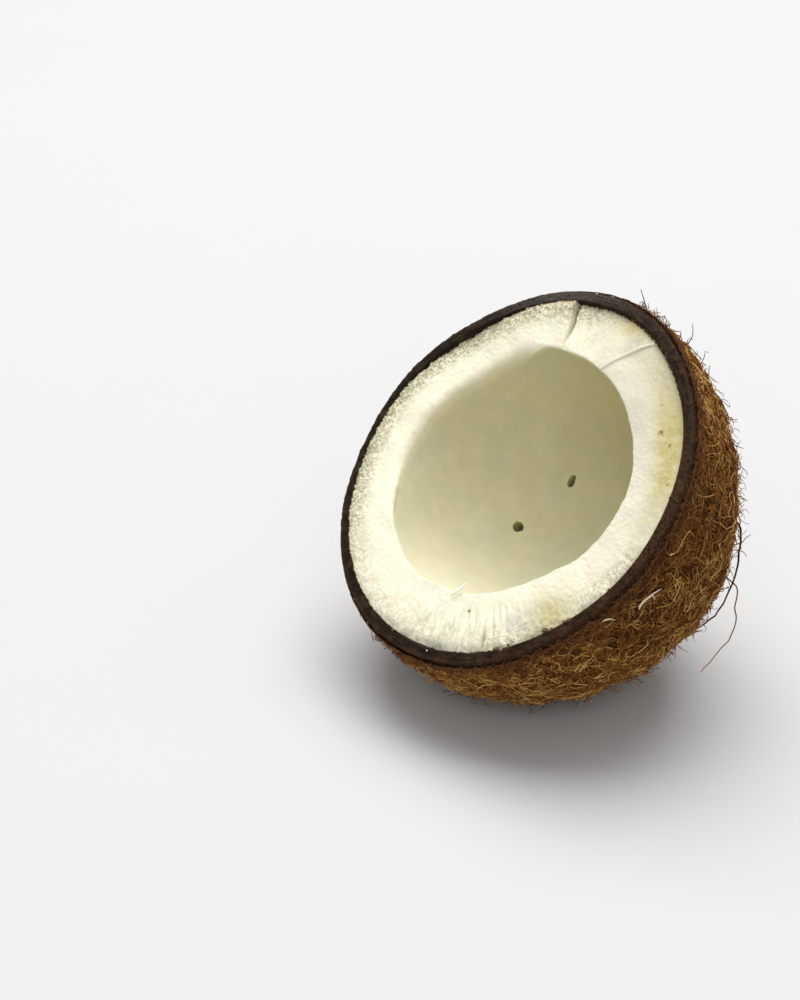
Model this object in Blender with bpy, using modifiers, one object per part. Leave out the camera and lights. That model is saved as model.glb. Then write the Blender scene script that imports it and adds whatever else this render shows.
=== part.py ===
"""Half of a split coconut, lying on its husk with the opening facing forwards and up.

The nut is modelled about its cut: the origin of the nut is the middle of the cut, its +Z
points out of the opening, and its pole lies at -Z. An empty then tips the whole nut to
the way it rests. Three layers grew one round another, each with its own colour and body:
the white flesh, the hard dark shell and the coir husk with its strands.
"""

import math
import random

import bmesh
import bpy
from mathutils import Matrix, Vector, noise

MM = 0.001

# Driving dimensions
RIM_RADIUS = 54.0 * MM  # hard shell, outside, at the cut
SHELL_DEPTH = 61.5 * MM  # hard shell, outside, from the cut to the pole
SHELL_WALL = 3.0 * MM
FLESH_WALL = 14.6 * MM
LAYER_GAP = 0.3 * MM  # kept between one layer and the next
HUSK_WALL = 2.0 * MM  # over most of the nut
HUSK_EDGE = 0.8 * MM  # at the cut, where the husk thins out
LIP = 2.2 * MM  # width of the rounding between the cut face and the cavity
SHELL_CROWN = 0.3 * MM  # how far the middle of the broken shell stands over its edges

# Surfaces worked out from them
FLESH_RADIUS = RIM_RADIUS - SHELL_WALL - LAYER_GAP
FLESH_DEPTH = SHELL_DEPTH - SHELL_WALL - LAYER_GAP
CAVITY_RADIUS = FLESH_RADIUS - FLESH_WALL
CAVITY_DEPTH = FLESH_DEPTH - FLESH_WALL

# How the nut lies
TILT = math.radians(44.0)  # of the opening away from straight up
REST_HEIGHT = 60.8 * MM  # middle of the cut above the surface that the nut lies on
REST_OFFSET = Vector((-1.5 * MM, -17.0 * MM, REST_HEIGHT))  # middle of the cut
PRESSED_AT = Vector((0.0, -22.0 * MM, -59.0 * MM))  # nut point over the flat spot
PRESSED_SPREAD = 17.0 * MM
PRESSED_EXTRA = 2.8 * MM  # coir felted thicker where the nut lies

# Natural departures from a turned shape
LEAN = Vector((3.4 * MM, -2.0 * MM, 0.0))  # how far the pole lies off the cut's axis
CAVITY_SHIFT = Vector((-1.1 * MM, 0.3 * MM, 0.0))
CRACK_ANGLE = math.radians(107.5)  # where the break steps down, by the top of the rim
CREASE_ANGLE = math.radians(72.5)  # where it steps down again
CRACK_STEP = 2.2 * MM  # at the shell
CRACK_FADE = 0.7  # share of it that is gone at the cavity
CREASE_STEP = 0.5 * MM
STEP_HALF_WIDTH = math.radians(0.5)  # of the slope between the two sides of a step
CLIMB_FROM = 0.9  # radians past the crack, where the break starts back up
CLIMB_TO = 4.6  # radians past the crack, where it is back up
DIP_ANGLE = math.radians(148.0)  # where the flesh broke deeper
DIP_SPREAD = math.radians(21.0)
DIP = 2.4 * MM
BREAK_DEPTH = 16.0 * MM  # below the cut, where the unevenness of the break has faded

# Waves round the nut, as (number of waves, height, angle in radians of the first crest)
NUT_WAVES = ((3, 0.17 * MM, -0.2), (4, 0.37 * MM, 0.05), (5, 0.15 * MM, 0.29))  # outwards
CAVITY_WAVES = ((2, 1.1 * MM, 0.13), (3, 0.6 * MM, 0.07), (4, 0.4 * MM, 0.09))  # outwards
RIM_WAVES = ((3, 0.35 * MM, 0.32), (7, 0.25 * MM, 0.22))  # upwards

# Eyes at the stem end, as points on the wall of the cavity
EYES = {
    "left": Vector((-19.3, -7.2, -35.4)) * MM,
    "upper": Vector((-13.9, 11.4, -36.8)) * MM,
    "right": Vector((-3.0, -1.2, -42.9)) * MM,
}
PIERCED = ("left", "upper")  # the milk was drained through these two
EYE_RADIUS = 4.0 * MM
EYE_DIMPLE = 0.9 * MM
PIERCED_RADIUS = 1.75 * MM
EYES_SPREAD_FROM = Vector((10.6, -1.3, 28.0)) * MM  # the eyes' axes meet here
STEM_END = sum(EYES.values(), Vector()).normalized()  # seen from the middle of the cut

# Fineness
COLUMNS = 72
SHELL_ROWS = 7
CAVITY_ROWS = 10
HUSK_ROWS = 20

# Relief of the felted coir
RIDGES = 23  # round the nut
RIDGE_HEIGHT = 0.3 * MM
CLUMP_HEIGHT = 0.9 * MM
TUFT_HEIGHT = 0.6 * MM

# Coir strands that stand out of the felt
STRANDS = 140
STRAND_RADIUS = 0.42 * MM
STRAND_POINTS = 6
ROOT_SUNK = 1.2 * MM
BARE_ROUND_STEM = 0.42  # radians, the patch round the eyes that has no strands
GOLDEN_ANGLE = math.pi * (3.0 - math.sqrt(5.0))
SEED = 11

# Longer strands that have worked loose, as (polar degrees, angle degrees, height in mm)
LOOSE_STRANDS = (
    ((80, -10, -1.2), (74, -17, 2.0), (66, -27, 3.2), (60, -38, 3.0), (56, -50, -1.2)),
    ((77, -13, -1.2), (72, -20, 2.0), (66, -28, 3.6), (61, -34, 4.4)),
    ((83, 74, -1.2), (83, 79, 1.2), (82, 84, 2.6)),
    ((72, 55, -1.2), (75, 50, 1.0), (79, 46, 2.4)),
)


def smooth(low, high, value):
    """0 below low, 1 above high, and an even S curve between."""
    share = min(1.0, max(0.0, (value - low) / (high - low)))
    return share * share * (3.0 - 2.0 * share)


def arc(radius, depth, first_deg, last_deg, count):
    """Points of a quarter ellipse in XZ; 0 degrees is the pole and 90 the cut."""
    points = []
    for i in range(count):
        angle = math.radians(first_deg + (last_deg - first_deg) * i / (count - 1))
        points.append((radius * math.sin(angle), -depth * math.cos(angle)))
    return points


def waves(terms, angle):
    """Height of a set of waves at an angle round the nut."""
    return sum(height * math.cos(count * (angle - crest)) for count, height, crest in terms)


def turn_from(angle, other):
    """Signed angle from the other angle, at most half a turn."""
    return (angle - other + math.pi) % math.tau - math.pi


def flesh_break(angle, inwards):
    """Height of the broken flesh over the rim's waves; inwards is 0 at the shell, 1 at the cavity."""
    crack_step = CRACK_STEP * (1.0 - CRACK_FADE * inwards)
    past_crack = (CRACK_ANGLE - angle) % math.tau
    beyond_crease = past_crack > CRACK_ANGLE - CREASE_ANGLE
    drop = crack_step + (CREASE_STEP if beyond_crease else 0.0)
    climb = (crack_step + CREASE_STEP) * smooth(CLIMB_FROM, CLIMB_TO, past_crack)
    dip = DIP * math.exp(-((turn_from(angle, DIP_ANGLE) / DIP_SPREAD) ** 2))
    return 0.5 * crack_step + climb - drop - dip


def drawn_to_steps(angle):
    """An angle moved up to a step of the break if it is within half a column of it."""
    half_column = math.pi / COLUMNS
    for step in (CRACK_ANGLE, CREASE_ANGLE):
        past = turn_from(angle, step)
        if abs(past) < 1.2 * half_column:
            return step + math.copysign(STEP_HALF_WIDTH, past)
    return angle


def near_rim(point):
    """1 at the cut, fading to 0 where the break no longer shows."""
    return 1.0 - smooth(0.0, BREAK_DEPTH, -point.z)


def grown(point):
    """A point of the turned shape moved to where it grew: leaning, and wavy at the rim."""
    depth = min(1.0, max(0.0, -point.z / SHELL_DEPTH))
    off_axis = smooth(0.0, 20.0 * MM, math.hypot(point.x, point.y))
    angle = math.atan2(point.y, point.x)
    swell = 1.0 + waves(NUT_WAVES, angle) / RIM_RADIUS
    lift = waves(RIM_WAVES, angle) * near_rim(point) * off_axis
    return Vector((point.x * swell, point.y * swell, point.z + lift)) + LEAN * depth


def evaluated_mesh(source):
    """A new mesh of an object with its modifiers applied."""
    bpy.context.view_layer.update()
    graph = bpy.context.evaluated_depsgraph_get()
    return bpy.data.meshes.new_from_object(source.evaluated_get(graph))


def turned(name, profile, collection):
    """An object turned about Z from a profile that runs down its outer side."""
    mesh = bpy.data.meshes.new(name + "_profile")
    points = [(x, 0.0, z) for x, z in profile]
    mesh.from_pydata(points, [(i, i + 1) for i in range(len(points) - 1)], [])
    outline = bpy.data.objects.new(name + "_profile", mesh)
    collection.objects.link(outline)
    screw = outline.modifiers.new("turn", "SCREW")
    screw.axis = "Z"
    screw.steps = COLUMNS
    screw.render_steps = COLUMNS
    screw.use_merge_vertices = True
    screw.merge_threshold = 0.00005
    body = bpy.data.objects.new(name, evaluated_mesh(outline))
    bpy.data.objects.remove(outline)
    collection.objects.link(body)
    return body


def reshape(body, rule):
    """Moves every vertex of a body by a rule from point to point."""
    for vertex in body.data.vertices:
        vertex.co = rule(vertex.co.copy())
    body.data.update()


def finish(body, name, colour, roughness):
    """Gives a body its one plain finish; coconut has no metal in it."""
    made = bpy.data.materials.new(name)
    made.use_nodes = True
    shader = made.node_tree.nodes["Principled BSDF"]
    shader.inputs["Base Color"].default_value = (*colour, 1.0)
    shader.inputs["Roughness"].default_value = roughness
    shader.inputs["Metallic"].default_value = 0.0
    body.data.materials.clear()
    body.data.materials.append(made)


def flesh_point(point):
    """The flesh: the cavity sits off centre, and the broken face is a little rough."""
    radius = math.hypot(point.x, point.y)
    angle = math.atan2(point.y, point.x)
    reach = math.hypot(radius / FLESH_RADIUS, point.z / FLESH_DEPTH)
    inwards = smooth(0.0, 1.0, (1.0 - reach) * FLESH_RADIUS / FLESH_WALL)
    broken = near_rim(point) * smooth(0.0, 20.0 * MM, radius)
    on_face = smooth(-2.0 * MM, 0.0, point.z) * smooth(0.0, 0.3, 1.0 - reach)
    grain = noise.noise(point * 180.0) * 0.5 * MM * on_face
    radius += waves(CAVITY_WAVES, angle) * inwards * broken
    drawn = angle + (drawn_to_steps(angle) - angle) * near_rim(point)
    moved = grown(Vector((radius * math.cos(drawn), radius * math.sin(drawn), point.z)))
    lift = grain + flesh_break(angle, inwards) * broken
    return moved + CAVITY_SHIFT * inwards + Vector((0.0, 0.0, lift))


def make_flesh(collection):
    """The white flesh: a thick bowl with a rounded inner lip."""
    profile = arc(CAVITY_RADIUS, CAVITY_DEPTH, 0.0, 87.0, CAVITY_ROWS)
    profile += [
        (CAVITY_RADIUS + 0.25 * LIP, -0.35 * LIP),
        (CAVITY_RADIUS + 1.0 * LIP, -0.05 * LIP),
        (CAVITY_RADIUS + 0.45 * FLESH_WALL, 0.0),
        (CAVITY_RADIUS + 0.75 * FLESH_WALL, 0.0),
    ]
    profile += reversed(arc(FLESH_RADIUS, FLESH_DEPTH, 0.0, 90.0, SHELL_ROWS + 1))
    flesh = turned("flesh", profile, collection)
    reshape(flesh, flesh_point)
    finish(flesh, "white_flesh", (0.86, 0.84, 0.74), 0.45)
    return flesh


def make_shell(collection):
    """The hard shell, seen as a thin dark ring round the flesh."""
    inner = RIM_RADIUS - SHELL_WALL
    profile = arc(inner, SHELL_DEPTH - SHELL_WALL, 0.0, 90.0, SHELL_ROWS + 1)
    profile.append((inner + 0.3 * SHELL_WALL, SHELL_CROWN))
    profile.append((RIM_RADIUS - 0.15 * SHELL_WALL, SHELL_CROWN))
    profile += reversed(arc(RIM_RADIUS, SHELL_DEPTH, 0.0, 90.0, SHELL_ROWS + 1))
    shell = turned("shell", profile, collection)
    reshape(shell, grown)
    finish(shell, "dark_shell", (0.045, 0.03, 0.025), 0.55)
    return shell


def pressed(point):
    """How much a point of the husk belongs to the patch that the nut lies on, 0 to 1."""
    return math.exp(-(((point - PRESSED_AT).length / PRESSED_SPREAD) ** 2))


def husk_wall(point):
    """Thickness of the coir at a point of the shell, before its relief."""
    full = HUSK_EDGE + (HUSK_WALL - HUSK_EDGE) * smooth(1.0 * MM, 20.0 * MM, -point.z)
    bare = math.exp(-((point.normalized().angle(STEM_END) / 0.28) ** 2))
    return full * (1.0 - 0.5 * bare) + PRESSED_EXTRA * pressed(point)


def relief(point):
    """Height of the coir's relief: long ridges down from the stem end, clumps and tufts."""
    across = STEM_END.orthogonal().normalized()
    way = point.normalized()
    turn = math.atan2(way.dot(STEM_END.cross(across)), way.dot(across))
    away = way.angle(STEM_END)
    wander = 3.2 * noise.noise(way * 3.0)
    ridge = RIDGE_HEIGHT * math.sin(RIDGES * turn + 2.2 * away + wander)
    clump = CLUMP_HEIGHT * noise.noise(way * 9.0 + Vector((5.0, 1.0, 2.0)))
    tuft = TUFT_HEIGHT * noise.noise(way * 21.0)
    fade = smooth(0.25, 0.6, away) * smooth(1.0 * MM, 12.0 * MM, -point.z)
    return (ridge + clump + tuft) * fade * (1.0 - min(1.0, 1.3 * pressed(point)))


def shell_surface(polar, angle):
    """A point of the turned shell's outside, and its outward direction."""
    ring = math.sin(polar)
    point = Vector((ring * math.cos(angle), ring * math.sin(angle), -math.cos(polar)))
    radii = Vector((RIM_RADIUS, RIM_RADIUS, SHELL_DEPTH))
    normal = Vector([p / r for p, r in zip(point, radii)]).normalized()
    return Vector([p * r for p, r in zip(point, radii)]), normal


def husk_surface(polar, angle, height=0.0):
    """A point of the husk's outside, or one at a height over it and clear of the shell."""
    point, normal = shell_surface(polar, angle)
    least = LAYER_GAP + (1.3 * STRAND_RADIUS if height else 0.45 * MM)
    outwards = max(least, husk_wall(point) + relief(point) + height)
    return grown(point + normal * outwards)


def husk_point(point):
    """Puts a vertex of the turned husk on its shell side or on its felted outside."""
    radius = math.hypot(point.x, point.y)
    polar = math.atan2(radius / RIM_RADIUS, -point.z / SHELL_DEPTH)
    angle = math.atan2(point.y, point.x)
    on_shell, _ = shell_surface(polar, angle)
    if (point - on_shell).length < 2.0 * LAYER_GAP:
        return grown(point)
    return husk_surface(polar, angle)


def make_husk(collection):
    """The felted coir outside the shell, thin at the cut, with its strands."""
    inner = RIM_RADIUS + LAYER_GAP
    inner_depth = SHELL_DEPTH + LAYER_GAP
    edge_deg = 88.6
    edge = math.radians(edge_deg)
    profile = arc(inner, inner_depth, 0.0, 90.0, SHELL_ROWS + 1)[:-1]
    profile.append((inner * math.sin(edge), -inner_depth * math.cos(edge)))
    outside = arc(inner + HUSK_WALL, inner_depth + HUSK_WALL, 0.0, edge_deg, HUSK_ROWS)
    profile += reversed(outside)
    husk = turned("husk", profile, collection)
    reshape(husk, husk_point)
    felt_strands(husk)
    finish(husk, "brown_coir", (0.28, 0.14, 0.05), 0.9)
    return husk


def strand_path(turn, rng):
    """Points along one coir strand: a curly line over the husk with sunk ends."""
    polar = math.acos(1.0 - 0.97 * (turn + 0.5) / STRANDS)
    angle = turn * GOLDEN_ANGLE + rng.uniform(-0.1, 0.1)
    length = rng.uniform(11.0, 21.0) * MM
    heading = rng.gauss(0.0, 0.8) + rng.choice((0.0, math.pi))
    curl = rng.uniform(0.8, 2.6) * MM
    phase = rng.uniform(0.0, math.tau)
    free_tip = rng.random() < 0.3
    lift = rng.uniform(0.35, 0.9) * MM
    points = []
    for i in range(STRAND_POINTS):
        share = i / (STRAND_POINTS - 1)
        along = (share - 0.5) * length
        aside = curl * math.sin(math.tau * share + phase)
        down = along * math.cos(heading) - aside * math.sin(heading)
        round_rim = along * math.sin(heading) + aside * math.cos(heading)
        here = min(math.radians(86.0), max(0.06, polar + down / RIM_RADIUS))
        there = angle + round_rim / (RIM_RADIUS * max(0.25, math.sin(here)))
        height = (lift + ROOT_SUNK) * math.sin(math.pi * share) ** 0.6 - ROOT_SUNK
        if free_tip and share > 0.5:
            height = lift * (1.0 + share)
        points.append(husk_surface(here, there, height))
    return points


def clear_of_rest(points):
    """True if a strand stays off the flat spot, the eyes and the floor."""
    tipped = Matrix.Rotation(TILT, 3, "X")
    for point in points:
        if point.normalized().angle(STEM_END) < BARE_ROUND_STEM:
            return False
        if (tipped @ point).z + REST_HEIGHT < 1.6 * MM:
            return False
    return True


def loose_path(stops):
    """Points along a loose strand from its stops over the husk."""
    points = []
    for polar, angle, height in stops:
        points.append(husk_surface(math.radians(polar), math.radians(angle), height * MM))
    return points


def add_tube(name, points, radius, collection):
    """A thin strand as a closed mesh tube that narrows to its tip."""
    curve = bpy.data.curves.new(name, "CURVE")
    curve.dimensions = "3D"
    curve.bevel_depth = radius
    curve.bevel_resolution = 0
    curve.use_fill_caps = True
    spline = curve.splines.new("POLY")
    spline.points.add(len(points) - 1)
    for i, (spot, point) in enumerate(zip(spline.points, points)):
        spot.co = (*point, 1.0)
        spot.radius = 1.0 - 0.25 * i / (len(points) - 1)
    wire = bpy.data.objects.new(name, curve)
    collection.objects.link(wire)
    body = bpy.data.objects.new(name + "_tube", evaluated_mesh(wire))
    bpy.data.objects.remove(wire)
    shape = bmesh.new()
    shape.from_mesh(body.data)
    bmesh.ops.remove_doubles(shape, verts=shape.verts, dist=0.01 * MM)
    bmesh.ops.recalc_face_normals(shape, faces=shape.faces)
    shape.to_mesh(body.data)
    shape.free()
    collection.objects.link(body)


def felt_strands(husk):
    """Joins the coir strands to the husk, so that the coir is one body."""
    loose = bpy.data.collections.new("loose_strands")
    bpy.context.scene.collection.children.link(loose)
    rng = random.Random(SEED)
    for turn in range(STRANDS):
        points = strand_path(turn, rng)
        if clear_of_rest(points):
            add_tube(f"strand_{turn}", points, STRAND_RADIUS, loose)
    for number, stops in enumerate(LOOSE_STRANDS):
        add_tube(f"loose_{number}", loose_path(stops), 0.8 * STRAND_RADIUS, loose)
    join = husk.modifiers.new("felt", "BOOLEAN")
    join.operation = "UNION"
    join.solver = "MANIFOLD"
    join.operand_type = "COLLECTION"
    join.collection = loose
    husk.data = evaluated_mesh(husk)
    husk.modifiers.remove(join)
    for strand in list(loose.objects):
        bpy.data.objects.remove(strand)
    bpy.data.collections.remove(loose)


def add_cutter(name, maker, place, cutters, parent):
    """A hidden cutter from a primitive, placed in the nut."""
    mesh = bpy.data.meshes.new(name)
    shape = bmesh.new()
    maker(shape)
    shape.to_mesh(mesh)
    shape.free()
    tool = bpy.data.objects.new(name, mesh)
    tool.parent = parent
    tool.matrix_local = place
    tool.display_type = "WIRE"
    tool.hide_render = True
    cutters.objects.link(tool)
    return tool


def cut(body, tool):
    """Takes a cutter out of a body, where the body keeps the modifier."""
    step = body.modifiers.new(tool.name, "BOOLEAN")
    step.operation = "DIFFERENCE"
    step.solver = "EXACT"
    step.object = tool


def drum(radius, length):
    """A maker of a plain round cutter along its own Z, from its origin up."""

    def make(shape):
        bmesh.ops.create_cone(
            shape, cap_ends=True, segments=12, radius1=radius, radius2=radius,
            depth=length, matrix=Matrix.Translation((0.0, 0.0, length / 2.0)),
        )

    return make


def block(size):
    """A maker of a square cutter that lies under its own origin."""

    def make(shape):
        low = Matrix.Translation((0.0, 0.0, -size / 2.0))
        bmesh.ops.create_cube(shape, size=size, matrix=low)

    return make


def shell_crossing(start, way):
    """The point where a line out of the cavity leaves the shell, found by halving."""
    low, high = 0.0, 2.0 * SHELL_DEPTH
    for _ in range(40):
        middle = (low + high) / 2.0
        point = start + way * middle
        ring = math.hypot(point.x - LEAN.x, point.y - LEAN.y)
        if math.hypot(ring / RIM_RADIUS, point.z / SHELL_DEPTH) < 1.0:
            low = middle
        else:
            high = middle
    return start + way * low


def cut_eyes(flesh, shell, husk, cutters, parent):
    """Opens the husk over each eye, dimples the shell, and pierces two of the eyes."""
    for name, start in EYES.items():
        way = (start - EYES_SPREAD_FROM).normalized()
        turn = way.to_track_quat("Z", "Y").to_matrix().to_4x4()
        dimple = Matrix.Translation(shell_crossing(start, way) - way * EYE_DIMPLE) @ turn
        eye = add_cutter(f"eye_{name}", drum(EYE_RADIUS, 9.0 * MM), dimple, cutters, parent)
        cut(shell, eye)
        cut(husk, eye)
        if name in PIERCED:
            bore = Matrix.Translation(start - way * 6.0 * MM) @ turn
            drill = drum(PIERCED_RADIUS, 40.0 * MM)
            drain = add_cutter(f"drain_{name}", drill, bore, cutters, parent)
            cut(flesh, drain)
            cut(shell, drain)


def build():
    """Makes the three layers, then lays the nut down on its flat spot."""
    for old in list(bpy.data.objects):
        bpy.data.objects.remove(old)
    parts = bpy.data.collections.new("coconut_half")
    cutters = bpy.data.collections.new("cutters")
    for collection in (parts, cutters):
        bpy.context.scene.collection.children.link(collection)

    layers = make_flesh(parts), make_shell(parts), make_husk(parts)
    nut = bpy.data.objects.new("cut_middle", None)
    parts.objects.link(nut)
    nut.location = REST_OFFSET
    nut.rotation_euler = (TILT, 0.0, 0.0)
    for body in layers:
        body.parent = nut

    flesh, shell, husk = layers
    cut_eyes(flesh, shell, husk, cutters, nut)
    cut(husk, add_cutter("floor", block(0.3), Matrix.Identity(4), cutters, None))
    for body in layers:
        body.data.shade_smooth()
        body.data.set_sharp_from_angle(angle=math.radians(40.0))


build()
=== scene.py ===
"""The looks of a coconut half: fine flesh, shell and coir, on a pale floor in soft light.

The nut is described about its cut: the origin is the middle of the cut, +Z points out of the
opening and the pole lies at -Z. NutShape holds that shape and the way the nut lies, and every
piece asks it where things are. Angles round the cut start at +X and grow towards +Y, which is
the cut's upper edge as the nut lies.
"""

from __future__ import annotations

import logging
import math
from dataclasses import dataclass, field
from enum import Enum

import bmesh
import bpy
import numpy as np
from mathutils import Matrix, Vector, noise


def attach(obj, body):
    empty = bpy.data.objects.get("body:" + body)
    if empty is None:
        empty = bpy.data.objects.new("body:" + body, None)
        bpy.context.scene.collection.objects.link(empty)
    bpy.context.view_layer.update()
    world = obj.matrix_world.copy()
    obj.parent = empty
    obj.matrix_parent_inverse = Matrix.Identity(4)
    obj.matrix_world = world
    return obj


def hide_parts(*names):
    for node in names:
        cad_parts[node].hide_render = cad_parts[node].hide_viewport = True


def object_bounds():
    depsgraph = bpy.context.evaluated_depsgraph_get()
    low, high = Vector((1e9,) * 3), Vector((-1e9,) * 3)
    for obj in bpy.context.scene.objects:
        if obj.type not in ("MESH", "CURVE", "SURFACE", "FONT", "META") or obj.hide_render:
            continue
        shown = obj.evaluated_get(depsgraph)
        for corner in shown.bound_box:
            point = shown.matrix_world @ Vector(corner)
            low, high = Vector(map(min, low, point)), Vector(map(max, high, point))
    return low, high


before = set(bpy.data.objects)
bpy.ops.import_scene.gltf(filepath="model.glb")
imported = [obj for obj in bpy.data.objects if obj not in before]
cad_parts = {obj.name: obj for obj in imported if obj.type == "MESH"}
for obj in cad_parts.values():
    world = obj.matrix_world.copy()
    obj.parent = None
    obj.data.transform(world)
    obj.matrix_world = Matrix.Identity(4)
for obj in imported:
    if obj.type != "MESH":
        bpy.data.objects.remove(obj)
CAD_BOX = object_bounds()

LOG = logging.getLogger("coconut_half")
MM = 0.001
GOLDEN_ANGLE = math.pi * (3.0 - math.sqrt(5.0))
# Points less than this below the cut count as being on it
CUT_BAND = 1.0 * MM
# Sides of a hidden cutter, and how uneven its wall is, as a share of its radius
DRUM_SIDES = 40
DRUM_UNEVEN = 0.14

Array = np.ndarray
Colour = tuple[float, float, float]
# Number of waves round the nut, height in mm, angle in radians of the first crest
Waves = tuple[tuple[int, float, float], ...]


def smooth(low: float, high: float, value: Array | float) -> Array:
    """0 below low, 1 above high, and an even S curve between."""
    share = np.clip((np.asarray(value, float) - low) / (high - low), 0.0, 1.0)
    return share * share * (3.0 - 2.0 * share)


def bump(value: Array, middle: float, spread: float) -> Array:
    """A bell of height 1 about a middle."""
    return np.exp(-(((value - middle) / spread) ** 2))


def round_gap(angle: Array, other: float) -> Array:
    """Signed angle from another angle, between minus and plus half a turn."""
    return (angle - other + math.pi) % math.tau - math.pi


def waves(terms: Waves, angle: Array) -> Array:
    """Height of a set of waves at angles round the nut."""
    return sum(height * MM * np.cos(count * (angle - crest)) for count, height, crest in terms)


def unit(ways: Array, tiny: float = 0.0) -> Array:
    """Vectors cut to length 1; tiny keeps vectors without length from a division by 0."""
    return ways / (np.linalg.norm(ways, axis=-1, keepdims=True) + tiny)


def turned(radius: Array | float, angle: Array, height: Array) -> Array:
    """Points from their radius, their angle round the nut and their height."""
    return np.stack([radius * np.cos(angle), radius * np.sin(angle), height], -1)


def grain(points: Array, feature: float, shift: float = 0.0) -> Array:
    """Seeded smooth noise at points.

    Args:
        points: Places, with three numbers each along the last axis.
        feature: Size of the noise's features, in metres.
        shift: Moves the noise, so that two layers of it differ.

    Returns:
        One value between about -1 and 1 for each place.
    """
    flat = np.asarray(points, float).reshape(-1, 3) / feature + shift
    values = np.fromiter((noise.noise(p) for p in flat), float, len(flat))
    return values.reshape(np.shape(points)[:-1])


@dataclass(frozen=True)
class Mark:
    """A place on the cut: a bell round it, and a bell or a slope across it."""

    strength: float
    # Middle and spread of the bell round the cut
    degrees: float
    spread: float
    # Middle and spread, or start and end, across the cut
    bell: tuple[float, ...] = ()
    slope: tuple[float, ...] = ()
    # Whether it reaches over the angle where counting starts
    wraps: bool = False

    def at(self, angle: Array, share: Array | float = 0.0) -> Array:
        """How strong the mark is.

        Args:
            angle: Angles round the nut.
            share: 0 at the cavity and 1 at the shell, below 0 on the cavity's wall.

        Returns:
            Its strength at each of them.
        """
        middle = math.radians(self.degrees)
        off = round_gap(angle, middle) if self.wraps else angle - middle
        found = self.strength * bump(off, 0.0, math.radians(self.spread))
        if self.bell:
            found = found * bump(share, *self.bell)
        if self.slope:
            found = found * smooth(*self.slope, share)
        return found


Marks = tuple[Mark, ...]


class Eye(Enum):
    """The three eyes at the stem end, by where their axis meets the cavity wall, in mm."""

    LEFT = (-19.3, -7.2, -35.4)
    UPPER = (-13.9, 11.4, -36.8)
    RIGHT = (-3.0, -1.2, -42.9)

    @property
    def inside(self) -> Vector:
        """Where the eye's axis meets the wall of the cavity."""
        return Vector(self.value) * MM

    @property
    def pierced(self) -> bool:
        """True for the two eyes that were opened to drain the milk."""
        return self is not Eye.RIGHT


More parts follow.
